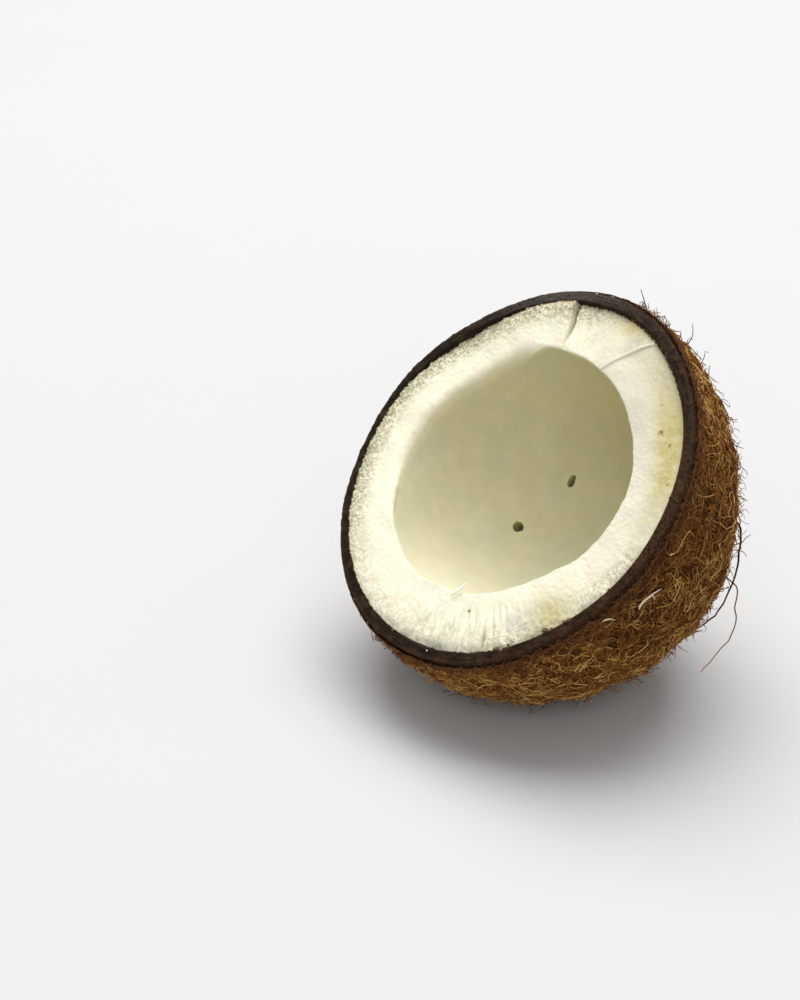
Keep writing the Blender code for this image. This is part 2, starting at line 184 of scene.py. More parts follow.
@dataclass(frozen=True)
class NutShape:
    """The grown shape that the layers share, and how the nut lies."""

    rim_radius: float = 54.0 * MM
    shell_depth: float = 61.5 * MM
    shell_wall: float = 3.0 * MM
    flesh_wall: float = 14.6 * MM
    layer_gap: float = 0.3 * MM
    husk_wall_full: float = 2.0 * MM
    husk_edge: float = 0.8 * MM
    tilt: float = math.radians(44.0)
    rest_offset: tuple[float, float, float] = (-1.5 * MM, -17.0 * MM, 60.8 * MM)
    pressed_at: tuple[float, float, float] = (0.0, -22.0 * MM, -59.0 * MM)
    pressed_spread: float = 17.0 * MM
    pressed_extra: float = 2.8 * MM
    lean: tuple[float, float] = (3.4 * MM, -2.0 * MM)
    cavity_shift: tuple[float, float] = (-1.1 * MM, 0.3 * MM)
    nut_waves: Waves = ((3, 0.17, -0.2), (4, 0.37, 0.05), (5, 0.15, 0.29))
    cavity_waves: Waves = ((2, 1.1, 0.13), (3, 0.6, 0.07), (4, 0.4, 0.09))
    rim_waves: Waves = ((3, 0.35, 0.32), (7, 0.25, 0.22))
    crack_angle: float = math.radians(107.5)
    crease_angle: float = math.radians(72.5)
    crack_step: float = 2.2 * MM
    crack_fade: float = 0.7
    crease_step: float = 0.5 * MM
    # Degrees over which each step falls, and radians past the crack where the cut climbs back
    step_slope: float = 0.3
    climb_from: float = 0.9
    climb_to: float = 4.6
    dip_angle: float = math.radians(148.0)
    dip_spread: float = math.radians(21.0)
    dip: float = 2.4 * MM
    # How far below the cut its waves reach, and how near the axis they fade out
    break_depth: float = 16.0 * MM
    axis_fade: float = 20.0 * MM
    eyes_spread_from: tuple[float, float, float] = (10.6 * MM, -1.3 * MM, 28.0 * MM)
    # Relief of the coir: ridges from end to end, and clumps and tufts by their size
    ridges: int = 23
    ridge_height: float = 0.3 * MM
    clump_height: float = 0.9 * MM
    clump_size: float = 1.0 / 9.0
    tuft_height: float = 0.6 * MM
    tuft_size: float = 1.0 / 21.0

    @property
    def flesh_radius(self) -> float:
        """Outside radius of the flesh at the cut."""
        return self.rim_radius - self.shell_wall - self.layer_gap

    @property
    def flesh_depth(self) -> float:
        """Depth of the flesh's outside below the cut."""
        return self.shell_depth - self.shell_wall - self.layer_gap

    @property
    def stem_end(self) -> Vector:
        """The way from the middle of the cut to the middle of the eyes."""
        return sum((eye.inside for eye in Eye), Vector()).normalized()

    @property
    def placing(self) -> Matrix:
        """Takes points of the nut to where it lies."""
        return Matrix.Translation(self.rest_offset) @ Matrix.Rotation(self.tilt, 4, "X")

    def to_world(self, points: Array) -> Array:
        """Points of the nut, as an array, to where they lie."""
        turn = np.array(self.placing.to_3x3())
        return np.asarray(points) @ turn.T + np.array(self.rest_offset)

    def eye_way(self, eye: Eye) -> Vector:
        """The way out through an eye."""
        return (eye.inside - Vector(self.eyes_spread_from)).normalized()

    def eye_place(self, eye: Eye, start: Vector, along: float) -> Matrix:
        """A place on an eye's axis, with Z along it and X towards the top of the cut.

        Args:
            eye: The eye.
            start: A point of the axis.
            along: How far outwards from there the place is.

        Returns:
            The place, as the nut lies.
        """
        z = self.eye_way(eye)
        x = (Vector((0.0, 1.0, 0.0)) - z * z.y).normalized()
        turn = Matrix((x, z.cross(x), z)).transposed().to_4x4()
        return self.placing @ (Matrix.Translation(start + z * along) @ turn)

    def eye_outside(self, eye: Eye) -> Vector:
        """Finds by halving where an eye's axis leaves the shell.

        Args:
            eye: The eye.

        Returns:
            The point, in the nut's own frame.
        """
        way = self.eye_way(eye)
        low, high = 0.0, 2.0 * self.shell_depth
        for _ in range(30):
            middle = (low + high) / 2.0
            point = eye.inside + way * middle
            ring = math.hypot(point.x - self.lean[0], point.y - self.lean[1])
            if math.hypot(ring / self.rim_radius, point.z / self.shell_depth) < 1.0:
                low = middle
            else:
                high = middle
        return eye.inside + way * low

    def flesh_break(self, angle: Array, inwards: Array) -> Array:
        """Height of the broken flesh over the rim's waves.

        Args:
            angle: Angles round the rim, measured at the outside.
            inwards: 0 at the shell and 1 at the cavity.

        Returns:
            Heights in metres; the crack's step fades towards the cavity.
        """
        slope = math.radians(self.step_slope)
        past = (self.crack_angle - angle) % math.tau
        to_crease = self.crack_angle - self.crease_angle
        after_crack = smooth(0.0, slope, past)
        after_crease = smooth(to_crease - slope, to_crease + slope, past)
        climb = smooth(self.climb_from, self.climb_to, past)
        crack = self.crack_step * (1.0 - self.crack_fade * inwards)
        dip = self.dip * bump(round_gap(angle, self.dip_angle), 0.0, self.dip_spread)
        height = 0.5 * crack - crack * (after_crack - climb)
        return height - self.crease_step * (after_crease - climb) - dip

    def near_rim(self, points: Array) -> Array:
        """1 at the cut, fading to 0 where the break no longer shows."""
        return 1.0 - smooth(0.0, self.break_depth, -points[..., 2])

    def grown(self, points: Array) -> Array:
        """Moves points of the turned shape to where they grew: leaning, and wavy at the rim.

        Args:
            points: Points of the turned shape.

        Returns:
            The moved points.
        """
        depth = np.clip(-points[..., 2] / self.shell_depth, 0.0, 1.0)
        off_axis = smooth(0.0, self.axis_fade, np.hypot(points[..., 0], points[..., 1]))
        angle = np.arctan2(points[..., 1], points[..., 0])
        swell = 1.0 + waves(self.nut_waves, angle) / self.rim_radius
        out = np.array(points, float)
        out[..., 0] = points[..., 0] * swell + self.lean[0] * depth
        out[..., 1] = points[..., 1] * swell + self.lean[1] * depth
        out[..., 2] += waves(self.rim_waves, angle) * self.near_rim(points) * off_axis
        return out

    def shell_point(self, way: Array, extra: Array | float = 0.0) -> Array:
        """The turned shell's outside, or a layer over it.

        Args:
            way: Directions from the middle of the cut.
            extra: Height over the shell.

        Returns:
            The points along the directions.
        """
        radii = np.array((self.rim_radius, self.rim_radius, self.shell_depth))
        return way * radii + unit(way / radii) * np.asarray(extra)[..., None]

    def pressed(self, points: Array) -> Array:
        """How much points belong to the patch that the nut lies on, 0 to 1."""
        away = np.linalg.norm(points - np.array(self.pressed_at), axis=-1)
        return np.exp(-((away / self.pressed_spread) ** 2))

    def husk_height(self, way: Array) -> Array:
        """Thickness of the coir, with its coarse relief.

        Args:
            way: Directions from the middle of the cut.

        Returns:
            The thickness along each of them.
        """
        point = self.shell_point(way)
        out = unit(point)
        stem = np.array(self.stem_end)
        across = np.array(self.stem_end.orthogonal().normalized())
        away = np.arccos(np.clip(out @ stem, -1.0, 1.0))
        turn = np.arctan2(out @ np.cross(stem, across), out @ across)
        below = -point[..., 2]
        edge = smooth(1.0 * MM, 20.0 * MM, below)
        wall = self.husk_edge + (self.husk_wall_full - self.husk_edge) * edge
        wall = wall * (1.0 - 0.5 * bump(away, 0.0, 0.28))
        wander = 3.2 * grain(out, 1.0 / 3.0)
        ridge = self.ridge_height * np.sin(self.ridges * turn + 2.2 * away + wander)
        clump = self.clump_height * grain(out + np.array((5.0, 1.0, 2.0)) / 9.0, self.clump_size)
        tuft = self.tuft_height * grain(out, self.tuft_size)
        fade = smooth(0.25, 0.6, away) * smooth(1.0 * MM, 12.0 * MM, below)
        pressed = self.pressed(point)
        relief = (ridge + clump + tuft) * fade * (1.0 - np.minimum(1.0, 1.3 * pressed))
        return np.maximum(0.75 * MM, wall + self.pressed_extra * pressed + relief)

    def near_eye(self, points: Array) -> Array:
        """Distance of points of the nut from the nearest eye's outer end."""
        ends = [np.array(self.eye_outside(eye)) for eye in Eye]
        return np.min([np.linalg.norm(points - end, axis=-1) for end in ends], axis=0)


class Shade:
    """A value or colour of a material that takes part in Python expressions."""

    def __init__(self, tree: Weave, socket: bpy.types.NodeSocket) -> None:
        """Wraps an output socket of a tree."""
        self.tree = tree
        self.socket = socket

    def _math(self, operation: str, first: Shade | float, second: Shade | float) -> Shade:
        """A Math node on two terms."""
        return self.tree.node("ShaderNodeMath", {"operation": operation}, {0: first, 1: second})

    def __add__(self, other: Shade | float) -> Shade:
        """self + other."""
        return self._math("ADD", self, other)

    __radd__ = __add__

    def __sub__(self, other: Shade | float) -> Shade:
        """self - other."""
        return self._math("SUBTRACT", self, other)

    def __rsub__(self, other: float) -> Shade:
        """other - self."""
        return self._math("SUBTRACT", other, self)

    def __mul__(self, other: Shade | float) -> Shade:
        """self * other."""
        return self._math("MULTIPLY", self, other)

    __rmul__ = __mul__

    def ease(self, low: float, high: float) -> Shade:
        """0 at low and 1 at high, with an S curve between; low may be above high."""
        settings = {"interpolation_type": "SMOOTHSTEP"}
        return self.tree.node("ShaderNodeMapRange", settings, {0: self, 1: low, 2: high})


class Weave:
    """A material's node tree, and the few ways its nodes are made."""

    def __init__(self, name: str) -> None:
        """Starts a material with a Principled shader.

        Args:
            name: The material's name.
        """
        self.material = bpy.data.materials.new(name)
        self.material.use_nodes = True
        self.nodes = self.material.node_tree.nodes
        self.links = self.material.node_tree.links
        self.shader = self.nodes["Principled BSDF"]

    def node(
        self, kind: str, settings: dict[str, object], sockets: dict[int | str, object],
        output: int | str = 0,
    ) -> Shade:
        """Makes any node.

        Args:
            kind: The node's type.
            settings: Its own settings, made before its sockets.
            sockets: Values or Shades for its inputs, by number or name.
            output: The output that the result stands for.

        Returns:
            That output as a Shade.
        """
        made = self.nodes.new(kind)
        for key, value in settings.items():
            setattr(made, key, value)
        for key, value in sockets.items():
            self.feed(made.inputs[key], value)
        return Shade(self, made.outputs[output])

    def feed(self, socket: bpy.types.NodeSocket, value: object) -> None:
        """Links a Shade to an input, or sets the input to a plain value.

        Args:
            socket: The input.
            value: The Shade, or the value.
        """
        if isinstance(value, Shade):
            self.links.new(value.socket, socket)
        elif isinstance(value, tuple) and len(value) == 3 and socket.type == "RGBA":
            socket.default_value = (*value, 1.0)
        else:
            socket.default_value = value

    def place(self) -> Shade:
        """Where a point of the surface is, in metres."""
        return self.node("ShaderNodeTexCoord", {}, {}, "Object")

    def read(self, attribute: str) -> Shade:
        """A number that was stored with the mesh."""
        return self.node("ShaderNodeAttribute", {"attribute_name": attribute}, {}, "Fac")

    def noise(
        self, feature: float, detail: float = 2.0, rough: float = 0.5, warp: float = 0.0,
        at: Shade | None = None,
    ) -> Shade:
        """Noise between 0 and 1.

        Args:
            feature: Size of its features, in metres.
            detail: Layers of finer noise.
            rough: How strong the finer layers are.
            warp: How much the noise is pulled about.
            at: Another vector to read it at, in place of the point's own place.

        Returns:
            The noise's value.
        """
        sockets = {
            "Vector": at or self.place(), "Scale": 1.0 / feature, "Detail": detail,
            "Roughness": rough, "Distortion": warp,
        }
        return self.node("ShaderNodeTexNoise", {}, sockets, 0)

    def mix(self, factor: Shade | float, first: Shade | Colour, second: Shade | Colour) -> Shade:
        """A blend of two colours.

        Args:
            factor: 0 for the first colour, 1 for the second.
            first: The first colour.
            second: The second colour.

        Returns:
            The blend.
        """
        settings = {"data_type": "RGBA"}
        sockets = {"Factor": factor, 6: first, 7: second}
        return self.node("ShaderNodeMix", settings, sockets, 2)

    def dress(
        self, colour: Shade, roughness: Shade | float, height: Shade, depth: float, **own: object,
    ) -> bpy.types.Material:
        """Feeds the shader.

        Args:
            colour: The base colour.
            roughness: The roughness.
            height: Relief between 0 and 1, for the bump.
            depth: Real height of that relief, in metres.
            **own: Values for the shader's own sockets, by name with _ for a space.

        Returns:
            The finished material.
        """
        self.feed(self.shader.inputs["Base Color"], colour)
        self.feed(self.shader.inputs["Roughness"], roughness)
        normal = self.node("ShaderNodeBump", {}, {"Distance": depth, "Height": height})
        self.feed(self.shader.inputs["Normal"], normal)
        for key, value in own.items():
            self.feed(self.shader.inputs[key.replace("_", " ")], value)
        return self.material


@dataclass(frozen=True)
class FleshFinish:
    """White coconut flesh: granular where it broke, smooth and olive in the cavity, the olive partly
    its own tone and partly painted shade.
    """

    cream: Colour = (0.88, 0.83, 0.635)
    white: Colour = (0.90, 0.86, 0.70)
    # Painted shade: a duller grey-cream for the upper right of the face
    dull: Colour = (0.56, 0.535, 0.43)
    olive_grain: Colour = (0.33, 0.29, 0.15)
    veil: Colour = (0.55, 0.51, 0.34)
    # The cavity's olive is partly the flesh's own tone and partly painted shade
    cavity: Colour = (0.60, 0.55, 0.345)
    cavity_cool: Colour = (0.565, 0.55, 0.365)
    # Painted shade for the top of the cavity's wall, under the rim
    cavity_painted_shade: Colour = (0.38, 0.325, 0.12)
    stain: Colour = (0.53, 0.46, 0.20)
    stain_deep: Colour = (0.42, 0.31, 0.10)
    bruise: Colour = (0.42, 0.45, 0.42)
    speck: Colour = (0.12, 0.065, 0.02)
    skin: Colour = (0.055, 0.026, 0.010)
    skin_fleck: Colour = (0.40, 0.29, 0.085)
    # The drain holes' walls: olive, partly the flesh's own tone and partly painted shade
    bore: Colour = (0.61, 0.59, 0.33)
    # Painted shade colour for the crack and the slit
    painted_crevice_shade: Colour = (0.20, 0.15, 0.07)
    # Painted highlight colour for the crease's raised lip
    ridge: Colour = (0.95, 0.94, 0.86)

    def face(self, w: Weave, fine: Shade, medium: Shade) -> Shade:
        """The colour of the broken face.

        Args:
            w: The material's nodes.
            fine: Noise as fine as the grains.
            medium: Noise as coarse as the blots.

        Returns:
            The colour; the masks that it reads are numbers stored with the mesh.
        """
        rind, granular, stained = w.read("rind_mm"), w.read("granular"), w.read("stained")
        line = w.node("ShaderNodeCombineXYZ", {}, {0: w.read("ring_mm") * 0.75, 1: rind * 0.24})
        radial = w.noise(1.0, 3.0, 0.6, at=line)
        face = w.mix(medium.ease(0.38, 0.64), self.cream, self.white)
        # Painted shade over the upper right of the face
        face = w.mix(w.read("painted_shade_right") * 0.7, face, self.dull)
        face = w.mix(fine.ease(0.46, 0.30) * rind.ease(12.0, 5.0) * 0.3, face, self.veil)
        face = w.mix(rind.ease(2.0, 0.2) * 0.6, face, self.veil)
        face = w.mix(granular * medium.ease(0.60, 0.44) * 0.6, face, self.veil)
        face = w.mix(granular * fine.ease(0.56, 0.43) * 0.9, face, self.olive_grain)
        streaked = w.read("streaked")
        face = w.mix(streaked * radial.ease(0.52, 0.38) * 0.65, face, self.veil)
        face = w.mix(w.read("bruised") * medium.ease(0.36, 0.54) * 0.75, face, self.bruise)
        face = w.mix(stained * (0.75 + 0.25 * medium.ease(0.35, 0.55)), face, self.stain)
        mottle = fine.ease(0.50, 0.62) * medium.ease(0.48, 0.60) * 0.65
        face = w.mix(stained * mottle, face, self.stain_deep)
        # Painted highlight along the crease
        face = w.mix(w.read("crease_highlight"), face, self.ridge)
        return w.mix(w.read("specked") * fine.ease(0.30, 0.48), face, self.speck)

    def material(self) -> bpy.types.Material:
        """Makes the material.

        Returns:
            The material.
        """
        w = Weave("coconut_flesh")
        cavity = w.read("cavity")
        fine = w.noise(0.62 * MM, 3.0, 0.62)
        medium = w.noise(2.4 * MM, 3.0, 0.55)
        # The cavity's wall: olive, partly its own tone and partly painted shade
        wall = w.mix(w.noise(12.0 * MM, 2.0, 0.5).ease(0.3, 0.7), self.cavity, self.cavity_cool)
        wall = w.mix(w.noise(5.0 * MM, 4.0, 0.6).ease(0.35, 0.75) * 0.2, wall, self.cream)
        # Painted shade high on the cavity's wall, under the rim
        wall = w.mix(w.read("painted_shade_high") * 0.5, wall, self.cavity_painted_shade)
        # Painted light: cream low down on the cavity's wall
        wall = w.mix(w.read("painted_light_low"), wall, self.cream)
        colour = w.mix(cavity, self.face(w, fine, medium), wall)
        # Painted shade in the crack and the slit
        colour = w.mix(w.read("crevice_shade") * 0.9, colour, self.painted_crevice_shade)
        # Partly painted shade on the drain holes' walls
        colour = w.mix(w.read("bored"), colour, self.bore)
        skin = w.mix(fine.ease(0.49, 0.62), self.skin, self.skin_fleck)
        edge = w.read("rind_mm") + fine * 1.1
        colour = w.mix(edge.ease(1.02, 0.78), colour, skin)
        roughness = 0.46 + 0.2 * fine - 0.06 * cavity
        relief = fine * (0.35 + w.read("granular")) + medium * 0.5
        return w.dress(
            colour, roughness, relief * (1.0 - cavity * 0.85), 0.3 * MM,
            Subsurface_Weight=0.2, Subsurface_Radius=(1.0, 0.8, 0.5), Subsurface_Scale=1.0 * MM,
            IOR=1.4,
        )


@dataclass(frozen=True)
class ShellFinish:
    """Hard black-brown shell, dull and fibrous where it broke, paler round the eyes, with a painted
    sheen atop the ring.
    """

    dark: Colour = (0.014, 0.008, 0.004)
    brown: Colour = (0.054, 0.030, 0.014)
    red: Colour = (0.078, 0.034, 0.011)
    painted_sheen: Colour = (0.085, 0.072, 0.062)
    # Painted sheen: paler grey on top of the broken ring
    eye: Colour = (0.16, 0.09, 0.045)

    def material(self) -> bpy.types.Material:
        """Makes the material.

        Returns:
            The material.
        """
        w = Weave("hard_shell")
        coarse = w.noise(3.0 * MM, 4.0, 0.6)
        fine = w.noise(0.5 * MM, 3.0, 0.6)
        colour = w.mix(coarse.ease(0.44, 0.72), self.dark, self.brown)
        colour = w.mix(w.read("outer") * fine.ease(0.40, 0.62), colour, self.red)
        # Painted sheen on top of the ring
        colour = w.mix(w.read("painted_sheen") * fine.ease(0.25, 0.60), colour, self.painted_sheen)
        colour = w.mix(w.read("eye") * fine.ease(0.3, 0.6), colour, self.eye)
        return w.dress(
            colour, 0.6 + 0.2 * coarse, fine + coarse, 0.4 * MM, IOR=1.45, Specular_IOR_Level=0.12,
        )


@dataclass(frozen=True)
class FeltFinish:
    """The matted coir under the loose strands: brown, with dark gaps of painted shade, red by the cut.
    """

    # Painted shade between the felted strands
    gap: Colour = (0.035, 0.011, 0.003)
    brown: Colour = (0.155, 0.056, 0.010)
    gold: Colour = (0.32, 0.155, 0.030)
    red: Colour = (0.040, 0.015, 0.007)

    def material(self) -> bpy.types.Material:
        """Makes the material.

        Returns:
            The material.
        """
        w = Weave("felted_coir")
        strands = w.noise(0.8 * MM, 4.0, 0.65, 1.6)
        patch = w.noise(7.0 * MM, 3.0, 0.6)
        # Dark gaps between strands: painted shade
        colour = w.mix(strands.ease(0.40, 0.60), self.gap, self.brown)
        colour = w.mix(strands.ease(0.60, 0.75) * patch.ease(0.35, 0.65), colour, self.gold)
        colour = w.mix(w.read("rim") * 0.85, colour, self.red)
        return w.dress(colour, 0.9, strands, 0.7 * MM, IOR=1.4, Specular_IOR_Level=0.2)


@dataclass(frozen=True)
class FibreFinish:
    """Coir fibres, each in its own tone from near black to straw, red by the cut."""

    name: str
    dark: Colour = (0.045, 0.015, 0.004)
    brown: Colour = (0.27, 0.098, 0.015)
    gold: Colour = (0.62, 0.37, 0.105)
    straw: Colour = (0.88, 0.77, 0.53)
    red: Colour = (0.10, 0.036, 0.011)

    def material(self) -> bpy.types.Material:
        """Makes the material; tone and rim are stored with each fibre's mesh.

        Returns:
            The material.
        """
        w = Weave(self.name)
        tone = w.read("tone") + 0.16 * w.noise(2.5 * MM, 2.0, 0.5) - 0.08
        colour = w.mix(tone.ease(0.0, 0.40), self.dark, self.brown)
        colour = w.mix(tone.ease(0.38, 0.84), colour, self.gold)
        colour = w.mix(w.read("rim") * 0.82, colour, self.red)
        colour = w.mix(tone.ease(0.92, 1.04), colour, self.straw)
        return w.dress(
            colour, 0.7, w.noise(0.3 * MM, 2.0, 0.5), 0.05 * MM, IOR=1.45, Specular_IOR_Level=0.2,
        )


@dataclass(frozen=True)
class CrumbFinish:
    """Crumbs that fell on the cut, from brown skin to white flesh."""

    brown: Colour = (0.095, 0.046, 0.016)
    amber: Colour = (0.27, 0.155, 0.05)
    white: Colour = (0.90, 0.87, 0.76)

    def material(self) -> bpy.types.Material:
        """Makes the material; tone is stored with each crumb's mesh.

        Returns:
            The material.
        """
        w = Weave("crumbs")
        fine = w.noise(0.5 * MM, 3.0, 0.6)
        tone = w.read("tone")
        colour = w.mix(tone.ease(0.0, 0.5) * fine.ease(0.3, 0.6), self.brown, self.amber)
        colour = w.mix(tone.ease(0.5, 0.9), colour, self.white)
        return w.dress(colour, 0.6, fine, 0.1 * MM, IOR=1.4)


@dataclass(frozen=True)
class FloorFinish:
    """A plain matt pale surface."""

    pale: Colour = (0.60, 0.60, 0.602)
    shaded: Colour = (0.575, 0.575, 0.577)

    def material(self) -> bpy.types.Material:
        """Makes the material.

        Returns:
            The material.
        """
        w = Weave("pale_surface")
        colour = w.mix(w.noise(90.0 * MM, 2.0, 0.5) * 0.4, self.pale, self.shaded)
        return w.dress(colour, 0.8, w.noise(2.0 * MM), 0.02 * MM, Specular_IOR_Level=0.2)


@dataclass
class Piece:
    """What every built piece has: its mesh, its numbers for the finish, and its slot."""

    name: str
    slot: str
    stands_for: tuple[str, ...] = ()
    nut: NutShape = field(default_factory=NutShape)

    def add(self, points: Array, faces: list, numbers: dict[str, Array]) -> bpy.types.Object:
        """Makes the mesh object where the nut lies.

        Args:
            points: Points of the nut, one row each.
            faces: Faces as lists of point numbers.
            numbers: Values per point, stored under their names for the material.

        Returns:
            The new object.
        """
        mesh = bpy.data.meshes.new(self.name)
        mesh.from_pydata(self.nut.to_world(points).tolist(), [], faces)
        for key, values in numbers.items():
            layer = mesh.attributes.new(key, "FLOAT", "POINT")
            layer.data.foreach_set("value", np.asarray(values, np.float32).ravel())
        mesh.shade_smooth()
        mesh.update()
        return linked(self.name, mesh)

    def add_turned(self, points: Array, numbers: dict[str, Array]) -> bpy.types.Object:
        """Makes the mesh object of a closed body turned from rows of points.

        Args:
            points: Points of the nut, by row and column.
            numbers: Values per point, by row and column.

        Returns:
            The new object.
        """
        closed = {key: with_poles(values) for key, values in numbers.items()}
        return self.add(with_poles(points), turned_faces(*points.shape[:2]), closed)

    def settle(self, made: bpy.types.Object, material: bpy.types.Material) -> None:
        """Dresses a finished piece and ties it to the frame.

        Args:
            made: The piece.
            material: What it is dressed in.
        """
        made.data.materials.clear()
        made.data.materials.append(material)
        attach(made, "root")
        if self.stands_for:
            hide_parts(*self.stands_for)
        triangles = sum(len(face.vertices) - 2 for face in made.data.polygons)
        LOG.info("%s: %d triangles", self.name, triangles)


def turned_faces(rows: int, columns: int) -> list[list[int]]:
    """Faces of a body turned from rows of columns, closed by a point at each end.

    Args:
        rows: Rows of points, from the first pole's neighbour to the last pole's.
        columns: Points in each row.

    Returns:
        Faces that number the first pole 0, then the rows, then the last pole.
    """
    faces = []
    last = 1 + rows * columns
    for c in range(columns):
        d = (c + 1) % columns
        faces.append([0, 1 + d, 1 + c])
        for r in range(rows - 1):
            a = 1 + r * columns
            faces.append([a + c, a + d, a + columns + d, a + columns + c])
        a = last - columns
        faces.append([last, a + c, a + d])
    return faces


def linked(name: str, data: bpy.types.ID) -> bpy.types.Object:
    """Puts an object with a mesh, a light or a camera into the scene.

    Args:
        name: The object's name.
        data: What it shows.

    Returns:
        The object.
    """
    made = bpy.data.objects.new(name, data)
    bpy.context.scene.collection.objects.link(made)
    return made


def places(made: bpy.types.Object) -> Array:
    """Places of an object's vertices, one row each.

    Args:
        made: The object.

    Returns:
        The places.
    """
    flat = np.empty(len(made.data.vertices) * 3)
    made.data.vertices.foreach_get("co", flat)
    return flat.reshape(-1, 3)


def with_poles(grid: Array) -> Array:
    """A grid of points or values with the mean of its first and last rows at its ends."""
    flat = grid.reshape(grid.shape[0] * grid.shape[1], *grid.shape[2:])
    return np.concatenate([grid[:1].mean(1), flat, grid[-1:].mean(1)])


@dataclass(frozen=True)
class Bore:
    """Holes or dimples on the axes of the eyes, cut with drums whose walls are uneven."""

    name: str
    radius: float
    length: float
    # Where the drums start: so far out from the cavity's wall, or else from the shell's outside
    start: float
    from_inside: bool = False
    pierced_only: bool = False
    seed: int = 0
    # How far the drums are stretched up the wall and across it, by eye
    stretch: tuple[tuple[float, float], ...] = ((1.0, 1.0), (1.0, 1.0), (1.0, 1.0))

    def eyes(self) -> list[tuple[int, Eye]]:
        """The eyes that it is cut at, with their numbers."""
        return [pair for pair in enumerate(Eye) if pair[1].pierced or not self.pierced_only]

    def place(self, nut: NutShape, number: int, eye: Eye) -> Matrix:
        """Where one drum stands.

        Args:
            nut: The nut.
            number: The eye's number.
            eye: The eye.

        Returns:
            The place, with Z out through the eye.
        """
        foot = eye.inside if self.from_inside else nut.eye_outside(eye)
        return nut.eye_place(eye, foot, self.start) @ Matrix.Diagonal((*self.stretch[number], 1.0, 1.0))

    def drum(self, nut: NutShape, number: int, eye: Eye) -> bpy.types.Object:
        """Makes one hidden cutter.

        Args:
            nut: The nut.
            number: The eye's number.
            eye: The eye.

        Returns:
            The cutter, not yet used.
        """
        shape = bmesh.new()
        lift = Matrix.Translation((0.0, 0.0, self.length / 2.0))
        bmesh.ops.create_cone(
            shape, cap_ends=True, segments=DRUM_SIDES, radius1=self.radius, radius2=self.radius,
            depth=self.length, matrix=lift,
        )
        shift = Vector((1.0, 1.0, 1.0)) * (self.seed + number)
        for vertex in shape.verts:
            way = Vector((vertex.co.x, vertex.co.y, 0.0)).normalized()
            vertex.co += way * self.radius * DRUM_UNEVEN * noise.noise(way * 1.7 + shift)
        shape.transform(self.place(nut, number, eye))
        name = f"{self.name}_{number}"
        mesh = bpy.data.meshes.new(name)
        shape.to_mesh(mesh)
        shape.free()
        return linked(name, mesh)


def carve(body: bpy.types.Object, nut: NutShape, *bores: Bore) -> None:
    """Cuts holes or dimples into a body at the eyes.

    Args:
        body: The body.
        nut: The nut that it belongs to.
        *bores: The holes and dimples.
    """
    cutters = [
        bore.drum(nut, number, eye)
        for number, eye in enumerate(Eye)
        for bore in bores
        if (number, eye) in bore.eyes()
    ]
    for tool in cutters:
        step = body.modifiers.new(tool.name, "BOOLEAN")
        step.operation = "DIFFERENCE"
        step.solver = "MANIFOLD"
        step.object = tool
    bpy.context.view_layer.update()
    graph = bpy.context.evaluated_depsgraph_get()
    carved = bpy.data.meshes.new_from_object(body.evaluated_get(graph))
    body.modifiers.clear()
    body.data = carved
    for tool in cutters:
        bpy.data.objects.remove(tool)


@dataclass(frozen=True)
class RimColumns:
    """Angles of the mesh columns round the cut, close together at the crack and crease."""

    nut: NutShape
    count: int = 640
    fine_count: int = 25
    fine_span: float = math.radians(1.6)
    crack_inner: float = math.radians(105.0)
    crease_inner: float = math.radians(82.0)
    wander: float = math.radians(0.28)

    def angles(self) -> Array:
        """The angles at the outside of the cut.

        Returns:
            The angles in order.
        """
        plain = np.linspace(0.0, math.tau, self.count, endpoint=False)
        fine = []
        for step in (self.nut.crack_angle, self.nut.crease_angle):
            plain = plain[np.abs(round_gap(plain, step)) > self.fine_span * 1.1]
            spread = np.linspace(-1.0, 1.0, self.fine_count)
            fine.append(step + self.fine_span * spread * np.abs(spread) ** 0.5)
        return np.sort(np.concatenate([plain, *fine]))

    def slanted(self, angle: Array, share: Array) -> Array:
        """Angles with the crack and crease running askew to the cavity's edge.

        Args:
            angle: Angles at the outside of the cut.
            share: 0 at the cavity and 1 at the shell.

        Returns:
            The angles at those shares.
        """
        inwards = 1.0 - np.clip(share, 0.0, 1.0)
        by_crack = bump(round_gap(angle, self.nut.crack_angle), 0.0, math.radians(9.0))
        by_crease = bump(round_gap(angle, self.nut.crease_angle), 0.0, math.radians(13.0))
        crack = (self.crack_inner - self.nut.crack_angle) * by_crack
        crease = (self.crease_inner - self.nut.crease_angle) * by_crease
        wave = np.sin(9.5 * inwards) * by_crack + 0.6 * np.sin(5.0 * inwards) * by_crease
        return angle + (crack + crease) * inwards + self.wander * wave * smooth(0.0, 0.2, inwards)


